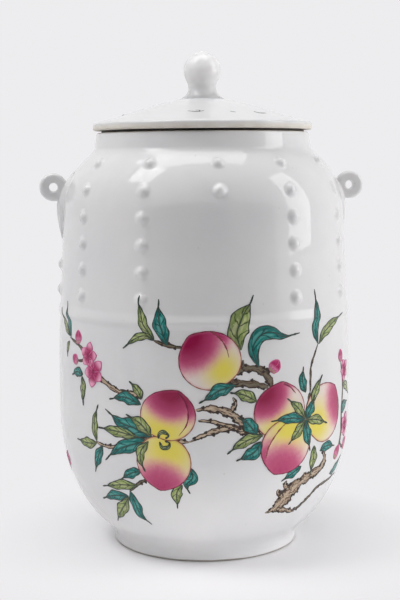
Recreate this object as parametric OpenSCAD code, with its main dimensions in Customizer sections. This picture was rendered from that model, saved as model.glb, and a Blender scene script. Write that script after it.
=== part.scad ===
// Lidded tea canister: a porcelain jar with rows of studs and two lug ears, and a lift-off lid
// with a bud knob that closes on a soft sealing ring.
// Millimetres. The jar stands on z = 0, its axis is the z axis, and its front faces -y.

/* [Jar] */
// Height of the jar from the table to its rim
jar_h = 207.4; // [160:0.2:260]
// Outside radius of the wall at the belly, its widest part
belly_r = 74; // [55:0.5:100]
// Height at which the belly becomes widest
belly_z = 70; // [50:1:100]
// How much the wall draws in from the belly up to the shoulder
wall_draw = 3.6; // [0:0.2:8]
// Radius of the round shoulder seen from the side
shoulder_arc = 36; // [20:0.5:50]
// Thickness of the wall
wall = 5; // [3:0.25:8]
// Thickness of the neck's wall at the rim
neck_t = 5.4; // [4:0.1:8]
// Height of the straight neck above the shoulder
neck_h = 7; // [4:0.5:15]
// Radius of the mouth inside the neck
mouth_r = 48; // [35:0.2:64]

/* [Foot] */
// Outside radius of the foot ring
foot_r = 46.6; // [35:0.2:60]
// Width of the foot ring where it stands on the table
foot_w = 6; // [3:0.2:10]
// Depth of the recess under the foot
foot_recess = 4; // [1:0.2:7]
// Thickness of the jar's floor
floor_t = 5.5; // [4:0.25:10]
// Height above the floor to which the cove between the foot and the belly runs out
foot_cove = 3; // [1:0.5:6]

/* [Raised band] */
// Distance from the rim down to the middle of the raised band
band_drop = 87; // [80:0.5:95]
// Width of the raised band
band_w = 8; // [4:0.5:10]
// How far the band stands out from the wall
band_relief = 0.7; // [0.3:0.1:1.5]

/* [Studs] */
// Number of stud rows round the jar, a multiple of four, so that two rows meet the ears
stud_rows = 12; // [12]
// Number of studs in a full row
studs_per_row = 6; // [3:1:6]
// Number of studs below the neck in the middle rows of the front and the back, which stay plain below
panel_studs = 2; // [1:1:3]
// Height of the lowest stud above the middle of the raised band
stud_lift = 9.6; // [8:0.2:14]
// Distance from the rim down to the highest stud
stud_drop = 14.9; // [14:0.1:18]
// Diameter of a stud on the wall
stud_d = 6.2; // [4:0.1:8]
// How far a stud stands out from the wall
stud_relief = 1.4; // [0.8:0.1:2]

/* [Ears] */
// Distance from the rim down to the ear's hole
ear_drop = 26.6; // [24:0.2:32]
// Distance from the wall out to the middle of the ear's hole
ear_reach = 7; // [6:0.1:9]
// Radius of the hole in the ear
ear_hole_r = 2.25; // [1.5:0.05:3]
// Thickness of the ring of clay round the hole
ear_ring_w = 4.6; // [3:0.1:6]
// Width of the ear across its ring
ear_t = 5.2; // [4:0.1:7]
// Rounding of the ring's edges
ear_round = 1.6; // [0.5:0.1:2]
// Length of the leaf-shaped strap below the ear's hole
strap_down = 27.4; // [18:0.2:34]
// Length of the strap above the ear's hole
strap_up = 10.2; // [8:0.2:12]
// Width of the strap
strap_w = 12; // [8:0.5:16]
// How far the keel of the strap stands out from the wall
strap_relief = 3.2; // [2:0.1:5]
// Slope of the strap's two sides down from its keel, in degrees
strap_slope = 18; // [5:1:25]

/* [Lid] */
// How far the lid's edge stands out beyond the neck
lid_over = 1.5; // [0.5:0.1:4]
// Height of the lid's edge
lid_edge_h = 3.7; // [2.5:0.1:6]
// Rise of the dome above the edge
dome_h = 12.7; // [6:0.1:20]
// Thickness of the lid
lid_t = 4.6; // [3:0.1:7]
// Depth of the lid's collar inside the mouth
collar_h = 11; // [7:0.5:16]
// Thickness of the collar
collar_t = 4; // [2.5:0.1:6]

/* [Knob] */
// Largest radius of the knob
knob_r = 9.3; // [6:0.1:14]
// Radius of the knob's stem
knob_stem_r = 7; // [4:0.1:10]
// Height of the knob above the top of the dome
knob_h = 23.2; // [16:0.2:32]

/* [Sealing ring] */
// Thickness of the ring's flange between the rim and the lid
seal_gap = 1.2; // [1:0.1:3]
// Width of the ring's flange outside the mouth
seal_flange_w = 2.8; // [1.5:0.1:4]
// Thickness of the ring's sleeve round the collar
seal_sleeve = 0.9; // [0.6:0.1:1.5]
// Depth of the sleeve inside the mouth
seal_depth = 7.5; // [5:0.5:10]
// How far the two grip ribs stand out from the sleeve
seal_rib = 0.2; // [0.1:0.05:0.3]

/* [Clearances] */
// Radial room between the collar and the sealing ring
collar_clear = 0.2; // [0.1:0.05:0.4]
// Radial room between the sealing ring's sleeve and the mouth
mouth_clear = 0.4; // [0.35:0.05:0.6]
// Thickness of the slip with which the applied pieces are stuck on
slip = 0.1; // [0.05:0.01:0.2]

/* [Hidden] */
$fn = 180;
// Points along each curved stretch of an outline
curve_n = 14;

// Belly: part of an upright ellipse; the wall above it narrows slowly to the shoulder
belly_x = 33.6 / 74 * belly_r;
belly_a = belly_r - belly_x;
belly_b = belly_z - 4;
band_z = jar_h - band_drop;
taper_z = belly_z + 0.6 * (band_z - band_w - belly_z);
wall_top_r = belly_r - wall_draw;
neck_z = jar_h - neck_h;
shoulder_x = wall_top_r - shoulder_arc;
neck_r = mouth_r + neck_t;
neck_base_r = neck_r + 0.9;
// Height of the shoulder's centre, from where its arc reaches the neck
shoulder_z = neck_z - 2 - sqrt(pow(shoulder_arc, 2) - pow(neck_base_r - shoulder_x, 2));
floor_z = foot_recess + floor_t;
foot_blend_z = floor_z + foot_cove;
rim_round = 1;

// Fits between the jar, the sealing ring and the lid
sleeve_out_r = mouth_r - mouth_clear;
sleeve_in_r = sleeve_out_r - seal_sleeve;
collar_r = sleeve_in_r - collar_clear;
collar_in_r = collar_r - collar_t;
lid_r = neck_r + lid_over;
lid_z = jar_h + seal_gap;
lid_edge_z = lid_z + lid_edge_h;
dome_top_z = lid_edge_z + dome_h;
knob_top_z = dome_top_z + knob_h;

stud_ball_r = (pow(stud_d / 2, 2) + pow(stud_relief, 2)) / (2 * stud_relief);
stud_low_z = band_z + stud_lift;
stud_pitch = (jar_h - stud_drop - stud_low_z) / (studs_per_row - 1);
ear_z = jar_h - ear_drop;
ear_x = jar_at(ear_z) + ear_reach;
ear_out_r = ear_hole_r + ear_ring_w;
strap_low_z = ear_z - strap_down;
strap_high_z = ear_z + strap_up;
// Studs that have room below the tip of an ear's strap
ear_row_studs = floor((strap_low_z - stud_d - stud_low_z) / stud_pitch) + 1;

// Point on a cubic curve, and the curve as a list of points without its last one
function curve_point(a, b, c, d, t) =
    pow(1 - t, 3) * a + 3 * t * pow(1 - t, 2) * b + 3 * t * t * (1 - t) * c + pow(t, 3) * d;
function curve(a, b, c, d) = [for (i = [0:curve_n - 1]) curve_point(a, b, c, d, i / curve_n)];

function ease(t) = let (u = min(max(t, 0), 1)) u * u * (3 - 2 * u);
function belly_at(z, inset) =
    belly_x + (belly_a - inset) * sqrt(max(0, 1 - pow((belly_z - z) / (belly_b - inset), 2)));
function wall_at(z, inset) =
    belly_r - inset - (belly_r - wall_top_r) * ease((z - taper_z) / (shoulder_z - taper_z));
function shoulder_at(z, inset) = shoulder_x + sqrt(pow(shoulder_arc - inset, 2) - pow(z - shoulder_z, 2));
function band_at(z) =
    abs(z - band_z) < band_w / 2 ? band_relief * pow(cos(180 * (z - band_z) / band_w), 1.2) : 0;
// Outside radius of the jar between the foot and the neck
function jar_at(z) =
    z < belly_z ? belly_at(z, 0) : z < shoulder_z ? wall_at(z, 0) + band_at(z) : shoulder_at(z, 0);
// Slope of that outline: change of radius for each millimetre of height
function jar_slope(z) = (jar_at(z + 0.05) - jar_at(z - 0.05)) / 0.1;

// Heights at which the outline takes a point: close together on the band, wide on plain stretches
wall_heights = concat(
    [for (i = [0:curve_n]) belly_z - (belly_z - foot_blend_z) * cos(90 * i / curve_n)],
    [taper_z, band_z - band_w],
    [for (i = [0:8]) band_z + band_w * (i / 8 - 0.5)],
    [for (i = [1:curve_n]) band_z + band_w + (shoulder_z - band_z - band_w) * i / curve_n]);
shoulder_end_r = neck_base_r + 2;
shoulder_end_z = shoulder_z + sqrt(pow(shoulder_arc, 2) - pow(shoulder_end_r - shoulder_x, 2));
shoulder_heights = [for (i = [1:curve_n])
    shoulder_z + (shoulder_end_z - shoulder_z) * sin(90 * i / curve_n)];

// Outside of the jar from foot to neck as (radius, height) points, moved out by a layer of slip
function jar_skin(grow) =
    [for (z = concat(wall_heights, shoulder_heights)) [jar_at(z) + grow, z]];

function jar_outline() = let (
    blend_r = jar_at(foot_blend_z),
    blend_s = jar_slope(foot_blend_z),
    end_s = jar_slope(shoulder_end_z - 0.1)) concat(
    [[0, foot_recess], [foot_r - foot_w - 1, foot_recess], [foot_r - foot_w, foot_recess - 1]],
    [[foot_r - foot_w, 1], [foot_r - foot_w + 1, 0], [foot_r - 1, 0]],
    [for (i = [0:3]) [foot_r - 1 + sin(22.5 * (i + 1)), 1 - cos(22.5 * (i + 1))]],
    curve([foot_r, 2.2], [foot_r, 6.2],
        [blend_r - 3.4 * blend_s, foot_blend_z - 3.4], [blend_r, foot_blend_z]),
    jar_skin(0),
    curve([shoulder_end_r, shoulder_end_z], [shoulder_end_r + end_s, shoulder_end_z + 1],
        [neck_base_r, neck_z - 1], [neck_base_r, neck_z]),
    [[neck_base_r, neck_z]],
    [for (i = [0:4]) [neck_r - rim_round * (1 - cos(22.5 * i)), jar_h - rim_round * (1 - sin(22.5 * i))]],
    [for (i = [0:4]) [mouth_r + rim_round * (1 - sin(22.5 * i)), jar_h - rim_round * (1 - cos(22.5 * i))]],
    jar_inside());

// Inside of the jar from the mouth down to the middle of the floor
inner_arc = shoulder_arc - wall;
inner_mouth_z = shoulder_z + sqrt(pow(inner_arc, 2) - pow(mouth_r - shoulder_x, 2));
function jar_inside() = concat(
    [for (i = [0:curve_n]) let (z = inner_mouth_z - (inner_mouth_z - shoulder_z) * (1 - cos(90 * i / curve_n)))
        [shoulder_at(z, wall), z]],
    [for (i = [1:6]) let (z = shoulder_z + (belly_z - shoulder_z) * i / 6) [wall_at(z, wall), z]],
    [for (i = [1:curve_n]) let (z = floor_z + (belly_z - floor_z) * (1 - sin(90 * i / curve_n)))
        [inner_belly_at(z), z]],
    [[0, floor_z]]);
function inner_belly_at(z) =
    belly_x + (belly_a - wall) * sqrt(max(0, 1 - pow((belly_z - z) / (belly_z - floor_z), 2)));

// Solid inside the jar's outside, from which applied pieces take the shape of their backs
module jar_core(grow) {
    rotate_extrude()
        polygon(concat([[0, foot_blend_z]], jar_skin(grow), [[0, shoulder_end_z]]));
}

module jar_body() {
    color("white")
        rotate_extrude()
            polygon(jar_outline());
}

module stud(z) {
    s = jar_slope(z);
    n = [1, -s] / sqrt(1 + s * s);
    sink = stud_ball_r - stud_relief;
    translate([jar_at(z) - sink * n[0], 0, z - sink * n[1]])
        sphere(r = stud_ball_r, $fn = 72);
}

// One upright row; the rows under the ears keep their lowest studs, the two middle rows their highest
module stud_row(number) {
    turn = (number - 1) * 360 / stud_rows - 90;
    quarter = (number - 1) % (stud_rows / 2);
    first = quarter == 0 ? studs_per_row - panel_studs : 0;
    last = quarter == stud_rows / 4 ? ear_row_studs - 1 : studs_per_row - 1;
    color("white")
        rotate([0, 0, turn])
            difference() {
                for (k = [first:last])
                    stud(stud_low_z + k * stud_pitch);
                jar_core(slip);
            }
}

// Side view of the strap: its keel line over the wall, closed inside the wall
function strap_t(z) = (z - strap_low_z) / (strap_high_z - strap_low_z);
function strap_keel(z) = jar_at(z) + strap_relief * pow(max(0, sin(180 * strap_t(z))), 0.8);
strap_side = concat(
    [for (i = [0:curve_n]) let (z = strap_low_z + (strap_high_z - strap_low_z) * i / curve_n) [strap_keel(z), z]],
    [[jar_at(strap_high_z) - 8, strap_high_z], [jar_at(strap_high_z) - 8, strap_low_z]]);
// Front view of the strap: a leaf that is widest behind the ring
function leaf_half(t) = strap_w / 2 * pow(max(0, sin(180 * pow(t, 1.3))), 0.7);
strap_front = concat(
    [for (i = [0:curve_n]) let (t = i / curve_n)
        [leaf_half(t), strap_low_z + t * (strap_high_z - strap_low_z)]],
    [for (i = [1:curve_n - 1]) let (t = 1 - i / curve_n)
        [-leaf_half(t), strap_low_z + t * (strap_high_z - strap_low_z)]]);

// Half of the strap's roof: the side view drawn across, then turned down from the keel
module strap_roof(turn) {
    keel_x = jar_at(ear_z) + strap_relief;
    translate([keel_x, 0, 0])
        rotate([0, 0, turn])
            translate([-keel_x, 0, 0])
                rotate([90, 0, 0])
                    linear_extrude(height = 4 * strap_w, center = true)
                        polygon(strap_side);
}

module ear_ring() {
    flat = ear_t / 2 - ear_round;
    translate([ear_x, 0, ear_z])
        rotate([90, 0, 0])
            rotate_extrude()
                polygon(concat(
                    [[0, -ear_t / 2]],
                    [for (i = [0:5]) [ear_out_r - ear_round + ear_round * sin(18 * i),
                        -flat - ear_round * cos(18 * i)]],
                    [for (i = [0:5]) [ear_out_r - ear_round + ear_round * cos(18 * i),
                        flat + ear_round * sin(18 * i)]],
                    [[0, ear_t / 2]]));
}

module ear_hole() {
    translate([ear_x, 0, ear_z])
        rotate([90, 0, 0])
            cylinder(r = ear_hole_r, h = 4 * ear_t, center = true);
}

module ear() {
    difference() {
        union() {
            ear_ring();
            intersection() {
                strap_roof(strap_slope);
                strap_roof(-strap_slope);
                rotate([90, 0, 90])
                    linear_extrude(height = 2 * belly_r)
                        polygon(strap_front);
            }
        }
        ear_hole();
        jar_core(slip);
    }
}

module right_ear() {
    color("white")
        ear();
}

module left_ear() {
    color("white")
        rotate([0, 0, 180])
            ear();
}

// Height of the dome's top face: half of it a parabola, half a wave, so that its edge lies flatter
function dome_at(r) = let (q = r / lid_r)
    lid_edge_z + dome_h * (0.5 * (1 - q * q) + 0.25 * (1 + cos(180 * q)));
lid_round = 0.9;

function dome_outline(from_r) =
    [for (i = [0:2 * curve_n]) let (r = from_r * (1 - i / (2 * curve_n))) [r, dome_at(r)]];

module lid() {
    color("white")
        rotate_extrude()
            polygon(concat(
                [[0, dome_top_z - lid_t]],
                [for (i = [1:curve_n]) let (r = (collar_in_r - 1) * i / curve_n) [r, dome_at(r) - lid_t]],
                [[collar_in_r, dome_at(collar_in_r) - lid_t - 1]],
                [[collar_in_r, lid_z - collar_h + 1], [collar_in_r + 1, lid_z - collar_h]],
                [[collar_r - 1, lid_z - collar_h], [collar_r, lid_z - collar_h + 1]],
                [[collar_r, lid_z], [lid_r - lid_round, lid_z]],
                [for (i = [1:4]) [lid_r - lid_round * (1 - sin(22.5 * i)), lid_z + lid_round * (1 - cos(22.5 * i))]],
                [[lid_r, lid_edge_z - lid_round]],
                dome_outline(lid_r - lid_round)));
}

module lid_knob() {
    stem_z = dome_top_z + 0.17 * knob_h;
    wide_z = dome_top_z + 0.52 * knob_h;
    color("white")
        difference() {
            rotate_extrude()
                polygon(concat(
                    [[0, dome_at(knob_stem_r + 2) - 1], [knob_stem_r + 2, dome_at(knob_stem_r + 2) - 1]],
                    curve([knob_stem_r + 2, dome_at(knob_stem_r + 2)], [knob_stem_r + 0.5, dome_top_z + 0.4],
                        [knob_stem_r, stem_z - 2], [knob_stem_r, stem_z]),
                    curve([knob_stem_r, stem_z], [knob_stem_r, stem_z + 4],
                        [knob_r, wide_z - 3.8], [knob_r, wide_z]),
                    curve([knob_r, wide_z], [knob_r, wide_z + 5],
                        [0.43 * knob_r, knob_top_z - 1.8], [0, knob_top_z]),
                    [[0, knob_top_z]]));
            rotate_extrude()
                polygon(concat(
                    [[0, lid_z]],
                    [for (i = [0:2 * curve_n]) let (r = (knob_stem_r + 4) * (1 - i / (2 * curve_n)))
                        [r, dome_at(r) + slip]]));
        }
}

// Soft ring: a flange that lies on the rim and a sleeve round the collar with two grip ribs
module lid_seal() {
    rib_step = seal_depth / 3;
    rib_half = 0.5;
    color("dimgray")
        rotate_extrude()
            polygon(concat(
                [[sleeve_in_r, lid_z], [sleeve_in_r, jar_h - seal_depth]],
                [[sleeve_out_r - 0.3, jar_h - seal_depth], [sleeve_out_r, jar_h - seal_depth + 0.3]],
                [for (k = [1:2], i = [0:6]) let (a = 30 * i - 90)
                    [sleeve_out_r + seal_rib * cos(a), jar_h - seal_depth + k * rib_step + rib_half * sin(a)]],
                [[sleeve_out_r, jar_h], [mouth_r + seal_flange_w, jar_h], [mouth_r + seal_flange_w, lid_z]]));
}

jar_body();
left_ear();
right_ear();
stud_row(1);  // stud_row_01
stud_row(2);  // stud_row_02
stud_row(3);  // stud_row_03
stud_row(4);  // stud_row_04
stud_row(5);  // stud_row_05
stud_row(6);  // stud_row_06
stud_row(7);  // stud_row_07
stud_row(8);  // stud_row_08
stud_row(9);  // stud_row_09
stud_row(10);  // stud_row_10
stud_row(11);  // stud_row_11
stud_row(12);  // stud_row_12
lid();
lid_knob();
lid_seal();
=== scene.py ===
"""Looks of a lidded porcelain tea canister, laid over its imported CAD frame."""

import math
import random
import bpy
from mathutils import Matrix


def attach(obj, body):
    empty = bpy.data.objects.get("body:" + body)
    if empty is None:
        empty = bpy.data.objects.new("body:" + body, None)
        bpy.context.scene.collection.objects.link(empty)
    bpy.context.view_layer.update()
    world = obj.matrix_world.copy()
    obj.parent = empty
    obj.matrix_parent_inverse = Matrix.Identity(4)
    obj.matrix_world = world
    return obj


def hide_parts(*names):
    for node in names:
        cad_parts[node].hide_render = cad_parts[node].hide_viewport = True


bl_info = {
    "name": "Porcelain Tea Canister",
    "version": (1, 0, 0),
    "blender": (4, 5, 0),
    "location": "3D View > Sidebar > Canister",
    "description": "Builds the porcelain jar, its lid, its painted peach spray and its studio",
    "category": "Object",
}

import bmesh
import bpy
from mathutils import Matrix, Vector

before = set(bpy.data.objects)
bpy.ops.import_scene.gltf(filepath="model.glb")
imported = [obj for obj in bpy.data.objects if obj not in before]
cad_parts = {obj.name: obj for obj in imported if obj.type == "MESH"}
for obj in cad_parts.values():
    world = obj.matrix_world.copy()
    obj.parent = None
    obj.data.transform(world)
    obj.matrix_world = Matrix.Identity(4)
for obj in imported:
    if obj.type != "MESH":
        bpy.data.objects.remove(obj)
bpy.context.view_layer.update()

MM = 0.001
FULL_TURN = 2 * math.pi
QUARTER = math.pi / 2

# Outline of the jar in millimetres, as in the CAD source but for a slightly stronger band
RIM_Z = 207.4
BELLY_R = 74.0
BELLY_Z = 70.0
BELLY_X = 33.6
BELLY_LOW_Z = 4.0
WALL_TOP_R = 70.4
WALL = 5.0
SHOULDER_ARC = 36.0
SHOULDER_X = WALL_TOP_R - SHOULDER_ARC
BAND_Z = 120.4
BAND_W = 8.0
BAND_RELIEF = 0.8
BAND_PEAK = 0.4
TAPER = 0.05
TAPER_Z = 97.3
TAPER_BLEND = 10
NECK_R = 53.4
NECK_TAPER = 0.9
NECK_BASE_R = NECK_R + NECK_TAPER
NECK_Z = 200.4
MOUTH_R = 48.0
FOOT_R = 46.6
FOOT_W = 6.0
FOOT_RECESS = 4.0
FOOT_BLEND_Z = 12.5
FLOOR_Z = 9.5
EDGE_ROUND = 1.0
SHOULDER_Z = NECK_Z - 2 - math.sqrt(SHOULDER_ARC ** 2 - (NECK_BASE_R - SHOULDER_X) ** 2)

# Outline of the ears
EAR_X = 75.2
EAR_Z = 180.8
EAR_T = 5.2
EAR_RING_R = 6.9
STRAP_LOW_Z = 153.4
STRAP_HIGH_Z = 191
STRAP_W = 12
STRAP_RELIEF = 3.2

# Outline of the lid, its knob and its sealing ring
LID_Z = 208.6
LID_EDGE_Z = 212.3
LID_R = 54.9
LID_T = 4.6
LID_ROUND = 1.3
LID_UNDER_ROUND = 0.9
DOME_H = 12.7
DOME_TOP_Z = LID_EDGE_Z + DOME_H
COLLAR_R = 46.5
COLLAR_IN_R = 42.5
COLLAR_Z = 197.6
KNOB_R = 9.3
KNOB_STEM_R = 7.0
KNOB_H = 23.2
KNOB_SEGMENTS = 96
SLEEVE_IN_R = 46.7
SLEEVE_OUT_R = 47.6
SLEEVE_Z = 199.9
FLANGE_R = 50.8
FLANGE_ROUND = 0.4

# Heights at which the glaze ends on the foot, the rim and the lid's edge, and how softly it does
FOOT_BARE_Z = 0.9
RIM_BARE_Z = RIM_Z - 0.1
BARE_SOFT = 0.12
LID_BARE_Z = LID_Z + 2.2
LID_BARE_SOFT = 0.9

# Depths of the finishes' bumps and of the light in the knob, in metres
GLAZE_BUMP = 0.00006
ENAMEL_BUMP = 0.00003
SEAL_BUMP = 0.00003
KNOB_LIGHT_DEPTH = 0.02

# Rows of studs
STUD_LOW_Z = 130.0
STUD_PITCH = 12.5
STUD_ROWS = 12

# Camera: place in metres, then turn, tilt and roll in degrees, and the sensor's width
CAMERA_PLACE = (-0.0719, -0.6309, 0.1939)
CAMERA_TURNS = ((-6.33, "Z"), (83.6, "X"), (-0.42, "Z"))
SENSOR = 36


def srgb(red, green, blue):
    """Linear colour of a tone given in 0 to 255 display values."""
    tone = []
    for value in (red, green, blue):
        c = value / 255
        tone.append(c / 12.92 if c <= 0.04045 else ((c + 0.055) / 1.055) ** 2.4)
    return tuple(tone)


# Tones that no setting changes
IRON_SPECK = srgb(120, 110, 98)
STAINED_CLAY = srgb(216, 208, 196)
# Dark brown for grime and painted contact shade on the foot's lowest edge
GRIME_AND_CONTACT_SHADE = srgb(70, 62, 52)
SEAL_DUST = srgb(92, 86, 80)
PALE_TEAL = srgb(104, 184, 176)
PALE_GREEN = srgb(204, 208, 156)
BLUSH_RIM = srgb(236, 176, 172)
BLUSH_FULL = srgb(178, 62, 106)
BARK_SHADE = srgb(166, 140, 116)
BARK_DARK = srgb(72, 72, 54)
BARK_EDGE = srgb(92, 68, 54)
PETAL_HEART = srgb(170, 28, 92)
PETAL_WASH = srgb(226, 120, 168)
PETAL_EDGE = srgb(210, 92, 146)
DRY_BRUSH = (0.25, 0.22, 0.2)


def colour_prop(name, description, tone):
    return bpy.props.FloatVectorProperty(
        name=name, description=description, subtype="COLOR", size=3, min=0, max=1, default=srgb(*tone))


def number_prop(name, description, default, subtype="FACTOR", unit="NONE", low=0, high=1):
    return bpy.props.FloatProperty(
        name=name, description=description, default=default, subtype=subtype, unit=unit, min=low, max=high)


def length_prop(name, description, default, low, high):
    return number_prop(name, description, default, "DISTANCE", "LENGTH", low, high)


def power_prop(name, description, default):
    return number_prop(name, description, default, "POWER", "POWER", 0, 100)


class CanisterGlaze(bpy.types.PropertyGroup):
    glaze: colour_prop("Glaze", "White of the porcelain glaze", (228, 227, 227))
    pooled: colour_prop("Pooled Glaze", "Cooler tone where the glaze lies thick", (219, 219, 221))
    clay: colour_prop("Bare Clay", "Unglazed clay on the lid's edge, the rim and the foot", (230, 226, 218))
    seal: colour_prop("Sealing Ring", "Soft ring under the lid", (58, 54, 51))
    body: number_prop("Body Roughness", "Roughness of the white body under the clear glaze", 0.5)
    gloss: number_prop("Glaze Roughness", "Roughness of the clear glaze", 0.02)


class CanisterSpray(bpy.types.PropertyGroup):
    teal: colour_prop("Teal Leaf", "Body of the blue-green leaves", (20, 122, 116))
    teal_dark: colour_prop("Teal Vein", "Veins and base of the blue-green leaves", (8, 60, 62))
    green: colour_prop("Green Leaf", "Body of the yellow-green leaves", (146, 164, 96))
    green_dark: colour_prop("Green Vein", "Veins and base of the yellow-green leaves", (52, 68, 42))
    crimson: colour_prop("Peach Blush", "Deepest part of a peach's blush", (146, 14, 68))
    pink: colour_prop("Peach Pink", "Soft edge of the blush", (210, 110, 144))
    yellow: colour_prop("Peach Yellow", "Ripe glow of a peach", (232, 216, 92))
    flesh: colour_prop("Peach Flesh", "Pale flesh away from blush and glow", (232, 218, 212))
    branch: colour_prop("Branch", "Body of the branches", (208, 190, 168))
    ink: colour_prop("Branch Outline", "Dark outlines and moss dots of the branches", (52, 42, 36))
    petal: colour_prop("Petal", "Pale part of the blossoms", (238, 172, 200))
    line: length_prop("Outline Width", "Width of the drawn outlines", 0.0005, 0.0001, 0.002)
    film: length_prop("Enamel Step", "Height that each layer of enamel adds", 0.00005, 0.00001, 0.0003)


class CanisterForm(bpy.types.PropertyGroup):
    stud_relief: length_prop("Stud Height", "Height of a stud over the wall", 0.0017, 0.0005, 0.002)
    segments: bpy.props.IntProperty(
        name="Segments", description="Steps round the turned pieces", min=64, max=384, default=192)
    ear_voxel: length_prop("Ear Detail", "Cell size of the softened ears", 0.0003, 0.0002, 0.001)


class CanisterStudio(bpy.types.PropertyGroup):
    backdrop: colour_prop("Backdrop", "White ground behind and below the canister", (237, 236, 238))
    ambient: number_prop("Room Light", "Even light from all round", 0.06)
    top_power: power_prop("Top Lamp", "Soft lamp overhead", 6.8)
    right_power: power_prop("Right Lamp", "Softbox at the right", 2.7)
    front_power: power_prop("Front Lamp", "Soft lamp above the camera", 3.2)
    low_power: power_prop("Low Lamp", "Narrow fill on the foot", 0.072)
    left_power: power_prop("Left Lamp", "Wide soft fill at the left", 7.0)
    fill_power: power_prop("Right Fill", "Wide soft fill at the right", 3.9)
    wedge_power: power_prop("Wedge Lamp", "Softbox that draws a wedge of light on the shoulder", 3.4)
    lens: number_prop("Lens", "Focal length of the camera", 75, "DISTANCE_CAMERA", "CAMERA", 1, 500)


# Outlines of the turned pieces, as lists of (radius, height) in millimetres


def ease(t):
    u = min(max(t, 0), 1)
    return u * u * (3 - 2 * u)


def jar_radius(z):
    """Outside radius of the jar between the foot and the neck."""
    if z < BELLY_Z:
        down = (BELLY_Z - z) / (BELLY_Z - BELLY_LOW_Z)
        return BELLY_X + (BELLY_R - BELLY_X) * math.sqrt(max(0, 1 - down ** 2))
    if z < SHOULDER_Z + TAPER * SHOULDER_ARC:
        along = z - TAPER_Z
        if along < TAPER_BLEND:
            along = max(0, along + TAPER_BLEND) ** 2 / (4 * TAPER_BLEND)
        wall = BELLY_R - TAPER * along
        up = (z - BAND_Z) / BAND_W + 0.5
        if 0 < up < 1:
            wall += BAND_RELIEF * ease(up / BAND_PEAK) * (1 - ease((up - BAND_PEAK) / (1 - BAND_PEAK)))
        return wall
    return SHOULDER_X + math.sqrt(max(0, SHOULDER_ARC ** 2 - (z - SHOULDER_Z) ** 2))


def jar_slope(z):
    return (jar_radius(z + 0.05) - jar_radius(z - 0.05)) / 0.1


def curve(a, b, c, d, steps):
    """Points of a cubic curve without its last one."""
    points = []
    for i in range(steps):
        t = i / steps
        u = 1 - t
        weights = (u ** 3, 3 * t * u * u, 3 * t * t * u, t ** 3)
        points.append(tuple(sum(w * p[k] for w, p in zip(weights, (a, b, c, d))) for k in (0, 1)))
    return points


def corner(r, z, radius, start, end, steps=6):
    """Points of a rounded edge about (r, z), from one angle to another in degrees."""
    angles = [math.radians(start + (end - start) * i / steps) for i in range(steps + 1)]
    return [(r + radius * math.cos(a), z + radius * math.sin(a)) for a in angles]


def between(low, high, steps):
    return [low + (high - low) * i / steps for i in range(steps)]


def jar_outline():
    """Whole section of the jar: recess, foot, outside, rim, inside."""
    inner_foot = FOOT_R - FOOT_W
    blend_r = jar_radius(FOOT_BLEND_Z)
    blend_s = jar_slope(FOOT_BLEND_Z)
    points = [(r, FOOT_RECESS) for r in (0, 6, 14, 22, 30, 36)]
    points += corner(inner_foot - EDGE_ROUND, FOOT_RECESS - EDGE_ROUND, EDGE_ROUND, 90, 0)
    points += corner(inner_foot + EDGE_ROUND, EDGE_ROUND, EDGE_ROUND, 180, 270)
    points += [(inner_foot + 2.5, 0)]
    points += corner(FOOT_R - EDGE_ROUND, EDGE_ROUND, EDGE_ROUND, 270, 360)
    points += curve((FOOT_R, 2.2), (FOOT_R, 6.2), (blend_r - 3.4 * blend_s, FOOT_BLEND_Z - 3.4),
                    (blend_r, FOOT_BLEND_Z), 18)
    heights = [BELLY_Z - (BELLY_Z - FOOT_BLEND_Z) * math.cos(QUARTER * i / 44) for i in range(44)]
    heights += between(BELLY_Z, BAND_Z - BAND_W / 2, 22)
    heights += between(BAND_Z - BAND_W / 2, BAND_Z + BAND_W / 2, 24)
    heights += between(BAND_Z + BAND_W / 2, SHOULDER_Z, 20)
    end_r = NECK_BASE_R + 3
    end_z = SHOULDER_Z + math.sqrt(SHOULDER_ARC ** 2 - (end_r - SHOULDER_X) ** 2)
    heights += [SHOULDER_Z + (end_z - SHOULDER_Z) * math.sin(QUARTER * i / 26) for i in range(26)]
    points += [(jar_radius(z), z) for z in heights]
    end_s = jar_slope(end_z - 0.1)
    points += curve((end_r, end_z), (end_r + 1.3 * end_s, end_z + 1.3),
                    (NECK_BASE_R, NECK_Z - 1.2), (NECK_BASE_R, NECK_Z + 0.4), 12)
    points += [(NECK_BASE_R - NECK_TAPER * t, NECK_Z + 6 * t) for t in (0.1, 0.3, 0.5, 0.75)]
    points += corner(NECK_R - EDGE_ROUND, RIM_Z - EDGE_ROUND, EDGE_ROUND, 0, 90)
    points += [((NECK_R + MOUTH_R) / 2, RIM_Z)]
    points += corner(MOUTH_R + EDGE_ROUND, RIM_Z - EDGE_ROUND, EDGE_ROUND, 90, 180)
    points += [(MOUTH_R, z) for z in (203.5, 200.5, 198)]
    arc = SHOULDER_ARC - WALL
    start = math.degrees(math.acos((MOUTH_R - SHOULDER_X) / arc))
    points += corner(SHOULDER_X, SHOULDER_Z, arc, start, 0, 24)
    points += [(BELLY_R - WALL - TAPER * max(0, z - TAPER_Z), z)
               for z in between(SHOULDER_Z, BELLY_Z, 18)[1:]]
    for i in range(1, 28):
        z = FLOOR_Z + (BELLY_Z - FLOOR_Z) * (1 - math.sin(QUARTER * i / 28))
        reach = math.sqrt(max(0, 1 - ((BELLY_Z - z) / (BELLY_Z - FLOOR_Z)) ** 2))
        points.append((BELLY_X + (BELLY_R - BELLY_X - WALL) * reach, z))
    return points + [(r, FLOOR_Z) for r in (33, 25, 17, 9, 0)]


def dome_height(r):
    q = r / LID_R
    return LID_EDGE_Z + DOME_H * (0.5 * (1 - q * q) + 0.25 * (1 + math.cos(math.pi * q)))


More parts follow.
